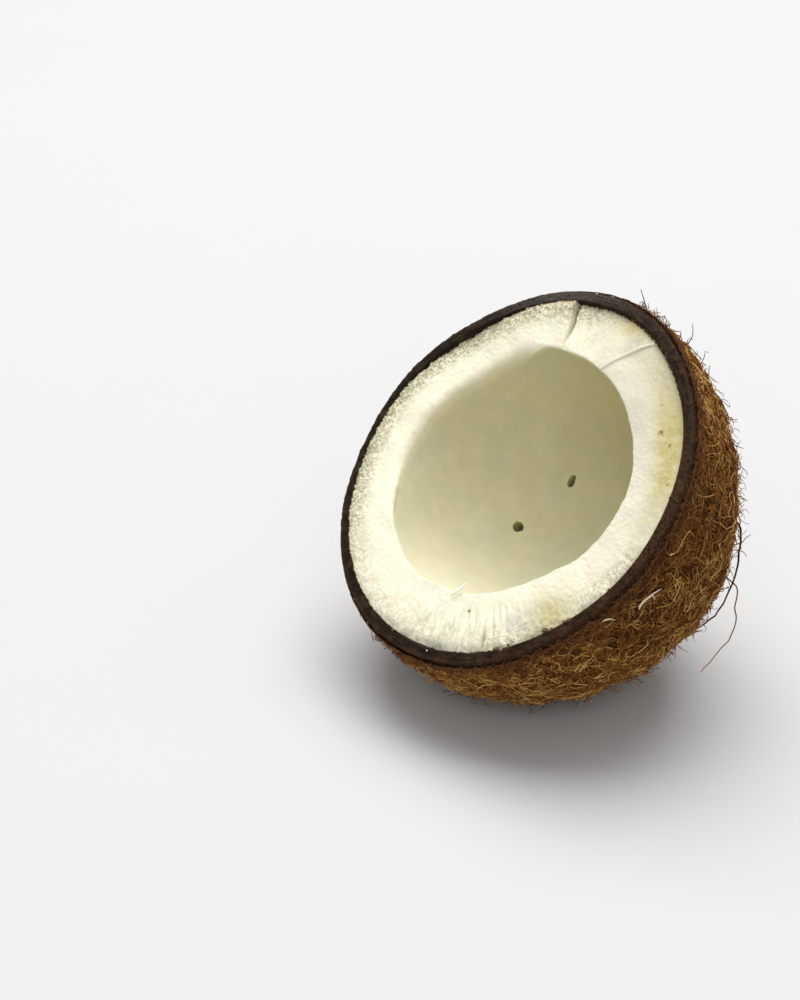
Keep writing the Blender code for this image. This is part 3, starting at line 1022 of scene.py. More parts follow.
@dataclass
class Flesh(Piece):
    """The white flesh, with its broken face, soft and crisp lips, and drain holes."""

    cavity_rows: int = 44
    lip_rows: int = 7
    face_rows: int = 34
    outer_rows: int = 9
    soft_lip: float = 3.8 * MM
    crisp_lip: float = 0.7 * MM
    crack_gap: float = 2.4 * MM
    crack_lip: float = 0.25 * MM
    crease_lip: float = 0.12 * MM
    slit_depth: float = 1.0 * MM
    drain: Bore = Bore(
        "drain", 1.3 * MM, 32.0 * MM, -6.0 * MM, from_inside=True, pierced_only=True,
        stretch=((1.22, 1.08), (1.45, 0.80), (1.0, 1.0)),
    )
    # Specks: degrees round the cut, mm from its middle, mm across
    specks: tuple[tuple[float, float, float], ...] = (
        (40.0, 43.5, 1.2), (38.6, 44.1, 0.6), (34.2, 46.2, 0.8), (20.4, 48.4, 0.7), (50.5, 44.5, 0.5),
        (292.8, 39.3, 0.9), (305.0, 44.0, 0.5),
    )
    skin_gap: float = 0.1 * MM
    # Corners of the cavity's edge: degrees round the cut, mm outwards, degrees to fade by
    corners: tuple[tuple[float, float, float], ...] = (
        (114.0, 1.1, 9.0), (333.5, -0.8, 4.0), (351.0, -0.5, 5.0), (293.0, 0.7, 5.0),
        (275.0, -0.5, 4.0), (40.0, 0.3, 12.0), (60.0, 0.4, 9.0),
    )
    # Where the cut broke most roughly
    low: Mark = Mark(1.0, 292.0, 46.0, wraps=True)
    # Grains at the right, the top and the bottom
    grainy: Marks = (
        Mark(0.22, 350.0, 26.0, wraps=True), Mark(0.35, 60.0, 12.0), Mark(0.25, 318.0, 14.0),
    )
    # The slit near the bottom: degrees round the cut, and place, length and width in metres
    slit_at: tuple[float, ...] = (301.3, 47.4 * MM, 1.9 * MM, 0.55 * MM)

    def marks(self) -> dict[str, Marks]:
        """The marks of the flesh, where +Y is the top of the cut.

        Returns:
            Marks under the names that the finish reads: torn in streaks at the bottom and by
            the crack, yellowed at the right and in spots, bluish in patches, darker at the
            upper right as painted shade; and the cavity's wall lighter low down as painted
            light and darker high up as painted shade.
        """
        return {
            "streaked": (
                Mark(1.0, 290.0, 26.0, slope=(0.15, 0.6)), Mark(0.5, 97.0, 8.0, slope=(0.0, 0.4)),
            ),
            "stained": (
                Mark(1.2, 32.0, 20.0, (0.70, 0.28)), Mark(0.85, 326.0, 7.0, (0.70, 0.34)),
                Mark(0.7, 84.0, 7.0, (0.88, 0.16)), Mark(0.30, 52.0, 40.0, slope=(0.3, 0.9)),
            ),
            "bruised": (
                Mark(1.0, 316.0, 5.0, (0.66, 0.16)), Mark(0.6, 281.0, 16.0, slope=(0.72, 0.95)),
                Mark(0.8, 75.5, 4.0, (0.82, 0.25)), Mark(0.5, 99.0, 5.0, slope=(0.5, 0.95)),
            ),
            # Painted shade at the upper right of the face
            "painted_shade_right": (Mark(1.0, 46.0, 44.0, wraps=True),),
            # Painted light low on the cavity's wall, and painted shade high on it
            "painted_light_low": (Mark(1.0, 288.0, 52.0, slope=(-0.95, -0.25), wraps=True),),
            "painted_shade_high": (Mark(1.0, 95.0, 62.0, slope=(-0.9, -0.4), wraps=True),),
        }

    def lip(self, angle: Array) -> Array:
        """Width of the rounding at the cavity's edge, soft at the upper left.

        Args:
            angle: Angles round the nut.

        Returns:
            The widths.
        """
        degrees = np.degrees(angle)
        soft = smooth(112.0, 128.0, degrees) * (1.0 - smooth(185.0, 225.0, degrees))
        return self.crisp_lip + (self.soft_lip - self.crisp_lip) * soft

    def edge(self, angle: Array) -> tuple[Array, Array]:
        """How far the cavity's edge departs from round.

        Args:
            angle: Angles round the nut.

        Returns:
            Its corners, and its fine wander, both outwards.
        """
        ring = turned(1.0, angle, 0.0 * angle)
        out = 0.45 * MM * grain(ring, 0.35)
        for degrees, height, spread in self.corners:
            gap = np.abs(round_gap(angle, math.radians(degrees)))
            out = out + height * MM * np.exp(-gap / math.radians(spread))
        return out, 0.18 * MM * grain(ring, 0.06, 4.0)

    def rows(self, angle: Array) -> tuple[Array, Array, Array]:
        """The rows of the turned flesh, from the cavity's pole over the cut to the outer pole.

        Args:
            angle: Angles of the columns.

        Returns:
            Radius, height and share across the face of every point, by row and column.
        """
        inner = self.nut.flesh_radius - self.nut.flesh_wall
        inner_depth = self.nut.flesh_depth - self.nut.flesh_wall
        outer = self.nut.rim_radius - self.nut.shell_wall - self.skin_gap
        lip = self.lip(angle)
        corners, wander = self.edge(angle)
        edge = corners + wander
        top = np.arccos(0.8 * lip / inner_depth)
        radius, height, share = [], [], []
        for i in range(self.cavity_rows):
            up = ((i + 0.6) / (self.cavity_rows - 0.4)) ** 0.85
            apart = corners * smooth(0.78, 1.0, up) + wander * smooth(0.955, 1.0, up)
            radius.append(inner * np.sin(top * up) + apart)
            height.append(-inner_depth * np.cos(top * up))
            share.append(0.0 * angle + up - 1.0)
        for i in range(1, self.lip_rows + 1):
            u = i / self.lip_rows
            start, corner = radius[self.cavity_rows - 1], inner + edge
            bend = (1 - u) ** 2 * start + 2 * u * (1 - u) * corner + u * u * (corner + lip)
            radius.append(bend)
            height.append(-0.8 * lip * (1 - u) ** 2)
            share.append((bend - inner) / (outer - inner))
        first = inner + edge + lip
        for i in range(1, self.face_rows + 1):
            u = i / self.face_rows
            radius.append(first + (outer - first) * u)
            height.append(0.0 * angle)
            share.append((radius[-1] - inner) / (outer - inner))
        for i in range(1, self.outer_rows + 1):
            down = 0.5 * math.pi * (1.0 - i / (self.outer_rows + 0.5))
            radius.append(0.0 * angle + outer * math.sin(down))
            height.append(0.0 * angle - self.nut.flesh_depth * math.cos(down))
            share.append(0.0 * angle + 1.0)
        return np.stack(radius), np.stack(height), np.stack(share)

    def face_relief(self, place: Array, angle: Array, share: Array, streaked: Array) -> Array:
        """Height of the broken face's own relief.

        Args:
            place: Places on the face.
            angle: Their angles.
            share: 0 at the cavity and 1 at the shell.
            streaked: How much each place is torn in streaks.

        Returns:
            The heights.
        """
        ring = self.nut.rim_radius * angle
        along = np.stack([ring / (1.5 * MM), place[..., 2] * 0.0, share * 2.6], -1)
        streaks = grain(along, 1.0, 7.0) * streaked
        relief = 0.14 * grain(place, 0.9 * MM) + 0.40 * grain(place, 6.0 * MM, 3.0)
        relief = relief + self.granular(angle, share) * 0.50 * grain(place, 1.2 * MM, 9.0)
        rough = 0.35 + self.low.at(angle)
        chips = smooth(0.84, 0.99, share) * (0.55 + grain(along, 1.7, 3.0)) * rough
        return (relief + 0.75 * streaks - 0.8 * np.maximum(chips, 0.0)) * MM

    def granular(self, angle: Array, share: Array) -> Array:
        """Where the face broke in grains: its outer part, most at the upper left.

        Args:
            angle: Angles round the nut.
            share: 0 at the cavity and 1 at the shell.

        Returns:
            0 where the break is smooth, 1 where it is all grains.
        """
        degrees = np.degrees(angle)
        around = smooth(78.0, 106.0, degrees) * (1.0 - 0.65 * smooth(205.0, 245.0, degrees))
        around = around + sum(mark.at(angle) for mark in self.grainy)
        return np.clip(around, 0.0, 1.0) * smooth(0.42, 0.92, share)

    def off_crease(self, angle: Array) -> Array:
        """Degrees from the raised lip of the crease."""
        return np.degrees(round_gap(angle, self.nut.crease_angle + math.radians(0.5)))

    def off_crack(self, angle: Array) -> Array:
        """Degrees from the foot of the crack's step."""
        return np.degrees(round_gap(angle, self.nut.crack_angle - math.radians(0.35)))

    def crease_highlight(self, angle: Array, share: Array) -> Array:
        """Painted highlight along the crease's raised lip, which ends short of the cavity."""
        return 0.6 * bump(self.off_crease(angle), 0.0, 0.36) * smooth(0.15, 0.7, share)

    def crevice_shade(self, angle: Array, share: Array) -> Array:
        """Where the crack lies in its own shadow."""
        return bump(self.off_crack(angle), 0.0, 0.22) * smooth(0.12, 0.60, share)

    def specked(self, points: Array) -> Array:
        """Where the face has small dark specks.

        Args:
            points: Points of the nut.

        Returns:
            1 in the middle of a speck, 0 off it.
        """
        found = np.zeros(points.shape[:-1])
        for degrees, away, size in self.specks:
            turn = math.radians(degrees)
            right = points[..., 0] - away * MM * math.cos(turn)
            above = points[..., 1] - away * MM * math.sin(turn)
            found = np.maximum(found, smooth(0.75, 0.3, np.hypot(right, above) / (size * MM)))
        return found

    def slit(self, points: Array) -> Array:
        """The short slit near the bottom of the face.

        Args:
            points: Points of the nut.

        Returns:
            1 along the slit, 0 off it.
        """
        degrees, away, length, width = self.slit_at
        turn = math.radians(degrees)
        along = points[..., 0] * math.cos(turn) + points[..., 1] * math.sin(turn)
        across = points[..., 1] * math.cos(turn) - points[..., 0] * math.sin(turn)
        return bump(along, away, length) * bump(across, 0.0, width)

    def steps(self, angle: Array, share: Array) -> Array:
        """The narrow gap along the crack, and the raised lips of the crack and the crease.

        Args:
            angle: Angles round the nut.
            share: 0 at the cavity and 1 at the shell.

        Returns:
            Heights over the face.
        """
        off = self.off_crack(angle)
        fade = smooth(0.12, 0.80, share)
        gap = -self.crack_gap * bump(off, 0.0, 0.20) * fade
        lip = self.crack_lip * bump(off, 0.75, 0.35) * fade
        lifted = self.crease_lip * bump(self.off_crease(angle), 0.0, 0.4)
        return gap + lip + lifted * smooth(0.0, 0.5, share)

    def build(self) -> None:
        """Makes the flesh, cuts its drain holes and dresses it."""
        nut = self.nut
        columns = RimColumns(nut)
        angle = columns.angles()
        radius, height, share = self.rows(angle)
        turn = np.broadcast_to(angle, radius.shape)
        on_face = (height > -CUT_BAND) & (share > 0.0)
        inwards = smooth(0.0, 1.0, 1.0 - share)
        outer_side = np.arange(len(radius)) >= len(radius) - self.outer_rows
        inwards[outer_side] = 0.0
        broken = nut.near_rim(turned(radius, turn, height)) * smooth(0.0, nut.axis_fade, radius)
        askew = turn + (columns.slanted(turn, share) - turn) * smooth(10.0 * MM, 0.0, -height)
        reach = radius + waves(nut.cavity_waves, turn) * inwards * broken
        points = turned(reach, askew, height)
        numbers = {
            key: np.clip(sum(mark.at(turn, share) for mark in marks), 0.0, 1.0)
            for key, marks in self.marks().items()
        }
        relief = self.face_relief(points, turn, share, numbers["streaked"]) + self.steps(turn, share)
        relief = (relief - self.slit_depth * self.slit(points)) * on_face
        lift = relief + nut.flesh_break(turn, inwards) * broken
        in_cavity = (share < 0.0)[..., None]
        swell = 0.35 * grain(points, 16.0 * MM, 2.0) + 0.03 * grain(points, 4.0 * MM)
        points = points + unit(points) * (swell * MM)[..., None] * in_cavity
        points = nut.grown(points)
        points[..., 0] += nut.cavity_shift[0] * inwards
        points[..., 1] += nut.cavity_shift[1] * inwards
        points[..., 2] += lift
        # The brown skin is wider at the upper right
        wall = (nut.rim_radius - nut.shell_wall - radius) / MM - Mark(0.6, 68.0, 26.0).at(turn)
        # The cavity's olive, partly painted shade, reaches up over the soft lip
        soft = smooth(0.20, -0.10, share) * smooth(2.0 * MM, 3.6 * MM, self.lip(turn))
        # Painted shade: the crack and the slit are darkened in colour as well as cut
        painted_crevice_shade = np.maximum(self.crevice_shade(turn, share), 0.9 * self.slit(points))
        numbers |= {
            "cavity": np.maximum(smooth(0.05, -0.03, share), soft) * (share < 0.9),
            "rind_mm": np.where(outer_side[:, None], 0.0, np.maximum(wall, 0.0)),
            "ring_mm": turn * nut.rim_radius / MM,
            "granular": self.granular(turn, share),
            "crease_highlight": self.crease_highlight(turn, share) * on_face,
            "specked": self.specked(points),
            "crevice_shade": painted_crevice_shade * on_face,
            "bored": 0.0 * turn,
        }
        made = self.add_turned(points, numbers)
        carve(made, nut, self.drain)
        self.mark_drains(made)
        self.settle(made, FleshFinish().material())

    def mark_drains(self, made: bpy.types.Object) -> None:
        """Stores where the walls of the drain holes are, for the finish.

        Args:
            made: The flesh, with its holes cut.
        """
        place = places(made)
        off = np.full(len(place), 1.0)
        for number, eye in self.drain.eyes():
            back = np.array(self.drain.place(self.nut, number, eye).inverted())
            local = place @ back[:3, :3].T + back[:3, 3]
            near = np.hypot(local[:, 0], local[:, 1])
            off = np.where(local[:, 2] > 2.0 * MM, np.minimum(off, near), off)
        # The holes' walls take the olive bore colour, which is partly painted shade
        bored = smooth(1.26, 1.16, off / self.drain.radius)
        for key, value in (("bored", 1.0), ("cavity", 1.0), ("rind_mm", 9.0)):
            layer = made.data.attributes[key]
            was = np.empty(len(place), np.float32)
            layer.data.foreach_get("value", was)
            layer.data.foreach_set("value", (was + (value - was) * bored).astype(np.float32))


@dataclass
class Shell(Piece):
    """The hard shell: a dark broken ring at the cut, a smooth cup below, and three eyes."""

    inner_rows: int = 8
    ring_rows: int = 12
    outer_rows: int = 34
    proud: float = 0.35 * MM
    dimple: Bore = Bore("dimple", 3.7 * MM, 9.0 * MM, -0.9 * MM, seed=5)
    hole: Bore = Bore("bore", 1.75 * MM, 32.0 * MM, 0.0, from_inside=True, pierced_only=True)
    # The furthest in that the ring's outer edge wanders, so that it still meets the coir
    ragged_least: float = -0.12 * MM

    def build(self) -> None:
        """Makes the shell and dresses it."""
        nut = self.nut
        angle = RimColumns(nut).angles()
        inner = nut.rim_radius - nut.shell_wall
        inner_depth = nut.shell_depth - nut.shell_wall
        ring = turned(1.0, angle, 0.0 * angle)
        ragged = 0.30 * MM * grain(ring, 0.05, 3.0) + 0.30 * MM * grain(ring, 0.022, 8.0)
        chipped = Mark(1.0, 58.0, 26.0).at(angle)
        ragged = ragged * (1.0 + 0.5 * chipped) + 0.35 * MM * chipped * grain(ring, 0.014, 2.0)
        ragged = np.maximum(ragged, self.ragged_least)
        radius, height, across = [], [], []
        for i in range(self.inner_rows):
            up = 0.5 * math.pi * (i + 0.5) / self.inner_rows
            radius.append(inner * math.sin(up) + 0.0 * angle)
            height.append(-inner_depth * math.cos(up) + 0.0 * angle)
            across.append(0.0 * angle)
        for i in range(self.ring_rows + 1):
            u = i / self.ring_rows
            radius.append(inner + nut.shell_wall * u + ragged * smooth(0.0, 1.0, u))
            crown = (1.0 - (2.0 * u - 1.0) ** 6) * (1.0 - 0.5 * u * u)
            height.append(self.proud * crown + 0.0 * angle)
            across.append(4.0 * u * (1.0 - u) + 0.0 * angle)
        for i in range(1, self.outer_rows + 1):
            down = 0.5 * math.pi * (1.0 - i / (self.outer_rows + 0.5))
            radius.append(nut.rim_radius * math.sin(down) + ragged * max(0.0, 1.0 - 0.5 * i))
            height.append(-nut.shell_depth * math.cos(down) + 0.0 * angle)
            across.append(0.0 * angle)
        radius, height, across = np.stack(radius), np.stack(height), np.stack(across)
        turn = np.broadcast_to(angle, radius.shape)
        points = turned(radius, turn, height)
        fibres = np.stack([turn * 9.0, radius / (0.5 * MM), 0.0 * turn], -1)
        torn = 0.34 * grain(fibres, 1.0) + 0.34 * grain(points, 0.9 * MM)
        points[..., 2] += torn * MM * across
        points = nut.grown(points)
        eye = smooth(1.7, 0.8, nut.near_eye(points) / self.dimple.radius)
        outer = 0.7 * smooth(nut.rim_radius - 1.2 * MM, nut.rim_radius - 0.2 * MM, radius)
        outer = np.maximum(outer, Mark(0.9, 8.0, 34.0, wraps=True).at(turn))
        numbers = {
            "eye": eye,
            "outer": np.where(height < -CUT_BAND, 1.0, outer),
            # Painted sheen on top of the ring
            "painted_sheen": Mark(1.0, 112.0, 24.0, slope=(0.0, 0.6)).at(turn, across),
        }
        made = self.add_turned(points, numbers)
        carve(made, nut, self.dimple, self.hole)
        self.settle(made, ShellFinish().material())


@dataclass
class Felt(Piece):
    """The mat of coir on the shell, thin at the cut, that the fibres lie on."""

    columns: int = 560
    inner_rows: int = 8
    outer_rows: int = 104
    edge_polar: float = math.radians(88.8)
    # How far the mat stays under the coir's full height, and its least thickness
    sunk: float = 0.35 * MM
    least: float = 0.5 * MM
    # What bares the eyes
    opening: Bore = Bore("bare", 4.0 * MM, 12.0 * MM, -2.0 * MM, seed=9)

    def build(self) -> None:
        """Makes the mat and dresses it."""
        nut = self.nut
        angle = np.linspace(0.0, math.tau, self.columns, endpoint=False)
        inner = np.linspace(0.0, self.edge_polar, self.inner_rows + 1)[1:]
        outer = np.linspace(self.edge_polar, 0.0, self.outer_rows + 1)[:-1]
        polar = np.concatenate([inner, outer])
        polar, turn = np.broadcast_arrays(polar[:, None], angle[None, :])
        way = turned(np.sin(polar), turn, -np.cos(polar))
        height = nut.husk_height(way)
        surface = nut.shell_point(way)
        hairy = 0.30 * grain(surface, 1.5 * MM, 1.0) + 0.34 * grain(surface, 3.2 * MM, 6.0)
        hairy = hairy * MM * smooth(0.8 * MM, 3.0 * MM, height)
        height = np.maximum(self.least, height - self.sunk + hairy)
        height = np.where(np.arange(len(polar))[:, None] < self.inner_rows, nut.layer_gap, height)
        points = nut.grown(nut.shell_point(way, height))
        rim = smooth(7.0 * MM, 1.5 * MM, -points[..., 2])
        made = self.add_turned(points, {"rim": rim})
        self.flatten(made)
        carve(made, nut, self.opening)
        self.settle(made, FeltFinish().material())

    def flatten(self, made: bpy.types.Object) -> None:
        """Keeps the mat on top of the surface that the nut lies on."""
        for vertex in made.data.vertices:
            vertex.co.z = max(vertex.co.z, 0.0)


def tubes(paths: Array, radius: Array, outward: Array) -> tuple[Array, Array, Array]:
    """Three-sided tubes along many paths at once.

    Args:
        paths: Points, by tube and stop.
        radius: Radii, by tube and stop.
        outward: Directions away from the nut, by tube and stop.

    Returns:
        All points, and the four-sided and three-sided faces.
    """
    count, stops, _ = paths.shape
    along = unit(np.gradient(paths, axis=1), 1e-12)
    side = unit(np.cross(along, outward), 1e-12)
    over = np.cross(side, along)
    rings = []
    for corner in range(3):
        turn = math.tau * (corner / 3.0 + 0.25)
        rings.append(paths + radius[..., None] * (math.cos(turn) * side + math.sin(turn) * over))
    points = np.stack(rings, 2).reshape(-1, 3)
    start = (np.arange(count) * stops * 3)[:, None, None]
    stop = (np.arange(stops - 1) * 3)[None, :, None]
    corner = np.arange(3)[None, None, :]
    near = start + stop + corner
    far = start + stop + (corner + 1) % 3
    walls = np.stack([near, near + 3, far + 3, far], -1).reshape(-1, 4)
    first = np.arange(count) * stops * 3
    last = first + (stops - 1) * 3
    heads = np.stack([first, first + 1, first + 2], -1)
    tails = np.stack([last + 2, last + 1, last], -1)
    return points, walls, np.concatenate([heads, tails])


class Lie(Enum):
    """How one sort of fibre lies on the mat."""

    FELTED = "both ends sunk in"
    TIPPED = "one end free, for half of them"
    STANDING = "standing off the mat"


@dataclass
class Fibres(Piece):
    """One sort of coir fibre, strewn evenly over the husk."""

    count: int = 4000
    stops: int = 8
    seed: int = 1
    lie: Lie = Lie.FELTED
    length_mm: tuple[float, float] = (5.0, 12.0)
    radius_mm: tuple[float, float] = (0.13, 0.19)
    lift_mm: tuple[float, float] = (0.1, 0.7)
    curl: float = 2.2
    tone: tuple[float, float] = (0.1, 0.8)
    skew: float = 1.3
    # Share of the fibres that head anywhere; the others run round the nut, more or less
    wild: float = 0.27
    heading_spread: float = 0.55
    # How deep the held ends are sunk into the mat: arched fibres, and ones with a free end
    arch_sunk: float = 0.35 * MM
    root_sunk: float = 0.3 * MM
    # The least height over the shell, and over what the nut lies on
    least: float = 0.5 * MM
    off_floor: float = 0.02 * MM
    bare_eye: float = 4.6 * MM
    # Cosines of the polar angles between which the fibres start
    band: tuple[float, float] = (0.02, 1.0)
    # The least share of its height that a fibre keeps where the coir is thin
    least_rise: float = 0.0
    # Degrees round the cut between which the rim is clean, and how far down that reaches
    clean: tuple[float, float] = (88.0, 262.0)
    clean_depth: float = 7.0 * MM
    # How far fibres may stand out of the CAD model's box, as a share of its sides
    spare: float = 0.025
    # From this tone up a fibre is straw: it is neither more golden low down, which is partly painted
    # light, nor red by the cut
    straw: float = 0.9

    def ways(self, rng: np.random.Generator) -> tuple[Array, Array]:
        """Lays the fibres out over the husk, all of them by seeded draws.

        Args:
            rng: The source of the draws.

        Returns:
            Directions from the cut, by fibre and stop, and each stop's share along.
        """
        number = np.arange(self.count) + 0.5
        low, high = self.band
        down = high - (high - low) * number / self.count
        down = np.clip(down + rng.normal(0.0, 0.01 * (high - low), self.count), low, high)
        turn = number * GOLDEN_ANGLE + rng.normal(0.0, 0.05, self.count)
        ring = np.sqrt(1.0 - down**2)
        way = turned(ring, turn, -down)
        stem = np.array(self.nut.stem_end)
        length = rng.uniform(*self.length_mm, self.count) * MM
        heading = 0.5 * math.pi + rng.normal(0.0, self.heading_spread, self.count)
        heading = heading + math.pi * rng.integers(0, 2, self.count)
        wild = rng.random(self.count) < self.wild
        heading = np.where(wild, rng.uniform(0.0, math.tau, self.count), heading)
        phase = rng.uniform(0.0, math.tau, (2, self.count))
        swing = self.curl * rng.uniform(0.3, 1.0, (2, self.count))
        pace = rng.uniform(0.7, 1.6, self.count)
        shares = np.linspace(0.0, 1.0, self.stops)
        found = [way]
        for share in shares[1:]:
            to_stem = unit(stem - (way @ stem)[:, None] * way, 1e-9)
            aside = np.cross(way, to_stem)
            bend = swing[0] * np.sin(math.tau * pace * share + phase[0])
            bend = bend + 0.6 * swing[1] * np.sin(2.3 * math.tau * pace * share + phase[1])
            now = (heading + bend)[:, None]
            step = (length / (self.stops - 1) / self.nut.rim_radius)[:, None]
            way = way + step * (np.cos(now) * to_stem + np.sin(now) * aside)
            way[:, 2] = np.minimum(way[:, 2], -0.9 * low - 0.004)
            way = unit(way)
            found.append(way)
        return np.stack(found, 1), shares

    def heights(self, rng: np.random.Generator, shares: Array) -> Array:
        """Heights of the fibres over the mat.

        Args:
            rng: The source of the draws.
            shares: Each stop's share along.

        Returns:
            The heights, by fibre and stop.
        """
        lift = rng.uniform(*self.lift_mm, (self.count, 1)) * MM
        wiggle = 1.0 + 0.35 * np.sin(math.tau * shares * rng.uniform(1.0, 2.5, (self.count, 1)))
        arch = (lift + self.arch_sunk) * np.sin(math.pi * shares) ** 0.6 * wiggle - self.arch_sunk
        root = self.root_sunk * (1.0 - shares)
        if self.lie is Lie.FELTED:
            return arch
        if self.lie is Lie.STANDING:
            return lift * shares**0.8 - root
        free = lift * (0.25 + 1.6 * shares**1.5) - root
        return np.where(rng.random((self.count, 1)) < 0.5, free, arch)

    def build(self) -> None:
        """Makes the fibres as one mesh and dresses them."""
        rng = np.random.default_rng(self.seed)
        ways, shares = self.ways(rng)
        mat = self.nut.husk_height(ways)
        rise = self.heights(rng, shares) * np.maximum(self.least_rise, smooth(0.4 * MM, 2.0 * MM, mat))
        extra = np.maximum(mat + rise, self.least)
        paths = self.nut.grown(self.nut.shell_point(ways, extra))
        outward = self.nut.shell_point(ways, 1.0) - self.nut.shell_point(ways)
        tips = 0.45 + 0.55 * np.sin(math.pi * np.clip(shares * 0.9 + 0.05, 0.0, 1.0)) ** 0.5
        radius = rng.uniform(*self.radius_mm, (self.count, 1)) * MM * tips
        low, high = self.tone
        tone = low + (high - low) * rng.random((self.count, 1)) ** self.skew + 0.0 * shares
        turn = np.degrees(np.arctan2(paths[:, -1, 1], paths[:, -1, 0])) % 360.0
        rubbed = (turn > self.clean[0]) & (turn < self.clean[1]) & (self.lie is Lie.STANDING)
        rubbed &= paths[..., 2].max(1) > -self.clean_depth
        clear = (self.nut.near_eye(paths).min(1) > self.bare_eye) & ~rubbed
        self.join(paths[clear], radius[clear], outward[clear], tone[clear])

    def join(self, paths: Array, radius: Array, outward: Array, tone: Array) -> None:
        """Puts tubes along the paths into one dressed piece, over the floor and inside the box.

        Args:
            paths: Points of the nut, by fibre and stop.
            radius: Radii, by fibre and stop.
            outward: Directions away from the nut, by fibre and stop.
            tone: Tones, by fibre and stop.
        """
        points, walls, ends = tubes(paths, radius, outward)
        faces = walls.tolist() + ends.tolist()
        # Fibres low down are more golden: partly their own tone, partly painted light under the nut
        low_gold_and_light = 0.14 * smooth(45.0 * MM, 8.0 * MM, self.nut.to_world(points)[:, 2])
        tone = np.repeat(tone.ravel(), 3)
        tone = np.where(tone < self.straw, np.minimum(tone + low_gold_and_light, self.straw), tone)
        rim = smooth(6.0 * MM, 0.5 * MM, -points[:, 2]) * (tone < self.straw)
        made = self.add(points, faces, {"tone": tone, "rim": rim})
        low, high = (np.array(corner) for corner in CAD_BOX)
        spare = self.spare * (high - low)
        place = np.clip(places(made), low - spare * (1, 1, 0), high + spare)
        place[:, 2] = np.maximum(place[:, 2], self.off_floor)
        made.data.vertices.foreach_set("co", place.ravel())
        made.data.update()
        self.settle(made, FibreFinish(self.name + "_fibre").material())


@dataclass
class LooseStrands(Fibres):
    """The few long strands and light bits that show best, each through its own listed stops."""

    stops: int = 24
    strands: tuple[tuple[float, float, tuple[tuple[float, float, float], ...]], ...] = (
        # radius mm, tone, then (polar degrees, angle degrees, height mm) from root to tip
        (0.38, -0.1, ((61.7, 28.5, -0.4), (55, 30.5, 1.2), (52, 25.5, 2.3), (51.8, 20.4, 3.1),
                      (51.2, 15.0, 3.2), (48.1, 5.3, 3.3), (42.4, -1.3, 2.3), (36.9, -8.3, -0.3))),
        (0.25, 0.24, ((57.5, 12.3, 0.2), (50.1, 13.9, 2.2), (49.1, 12.6, 4.5), (48.0, 7.7, 5.5),
                      (46.9, 4.9, 7.8), (46.1, -0.9, 9.2), (50.1, -6.0, 9.0), (51.1, -11.1, 9.6),
                      (51.5, -14.5, 10.1))),
        (0.17, 0.25, ((89.1, 84.0, -0.2), (88.6, 87.8, 1.8), (88.4, 90.6, 3.6), (89.2, 91.6, 4.8))),
        (0.16, 0.20, ((81.7, 72.9, -0.2), (82.3, 73.1, 2.2), (83.1, 73.8, 4.4), (84.9, 74.3, 5.8))),
        (0.17, 0.15, ((67.7, 59.6, -0.2), (69.4, 57.2, 0.8), (68.6, 56.2, 2.0), (68.2, 56.0, 3.4))),
        (0.16, 0.15, ((66.1, 53.0, -0.2), (64.5, 53.5, 1.2), (66.7, 50.0, 1.8), (66.4, 49.6, 2.6))),
        (0.17, 0.35, ((48.3, 26.4, -0.2), (51.0, 27.0, 2.4), (51.8, 28.6, 3.4), (53.4, 29.1, 4.4))),
        (0.15, 0.35, ((50.1, 24.2, -0.2), (51.6, 23.9, 3.2), (50.5, 24.2, 4.0), (48.9, 24.1, 4.6))),
        (0.15, 0.25, ((70.1, 38.1, -0.2), (71.0, 38.5, 1.2), (71.9, 39.3, 2.0), (72.2, 40.5, 3.0))),
        (0.34, 1.1, ((81.5, -13.1, -0.2), (83.8, -11.0, 0.9), (84.0, -9.2, 1.3), (81.9, -5.3, 0.5))),
        (0.26, 1.1, ((83.5, -9.5, 0.9), (83.2, -8.1, 1.2), (81.0, -8.4, 0.8))),
        (0.24, 1.0, ((87.5, -21.9, 0.1), (87.8, -20.5, 0.9), (87.1, -19.5, 1.1), (85.4, -19.2, 0.5))),
        (0.24, 1.0, ((85.7, 2.5, 0.2), (86.2, 2.9, 0.9), (85.0, 3.5, 0.6))),
        (0.24, 0.98, ((87.6, 52.2, 0.2), (88.0, 50.5, 0.8), (86.4, 50.2, 0.4))),
    )

    def build(self) -> None:
        """Makes the strands as one mesh and dresses them."""
        paths, radii, outward, tones = [], [], [], []
        for radius, tone, marks in self.strands:
            marks = np.array(marks, float)
            at = np.linspace(0.0, len(marks) - 1.0, self.stops)
            polar, turn, height = (eased_through(marks[:, k], at) for k in range(3))
            polar, turn = np.radians(polar), np.radians(turn)
            way = turned(np.sin(polar), turn, -np.cos(polar))
            mat = self.nut.husk_height(way)
            paths.append(self.nut.grown(self.nut.shell_point(way, mat + height * MM)))
            outward.append(self.nut.shell_point(way, 1.0) - self.nut.shell_point(way))
            radii.append(radius * MM * (1.0 - 0.5 * np.linspace(0.0, 1.0, self.stops) ** 2))
            tones.append(np.full(self.stops, tone))
        self.join(np.stack(paths), np.stack(radii), np.stack(outward), np.stack(tones))


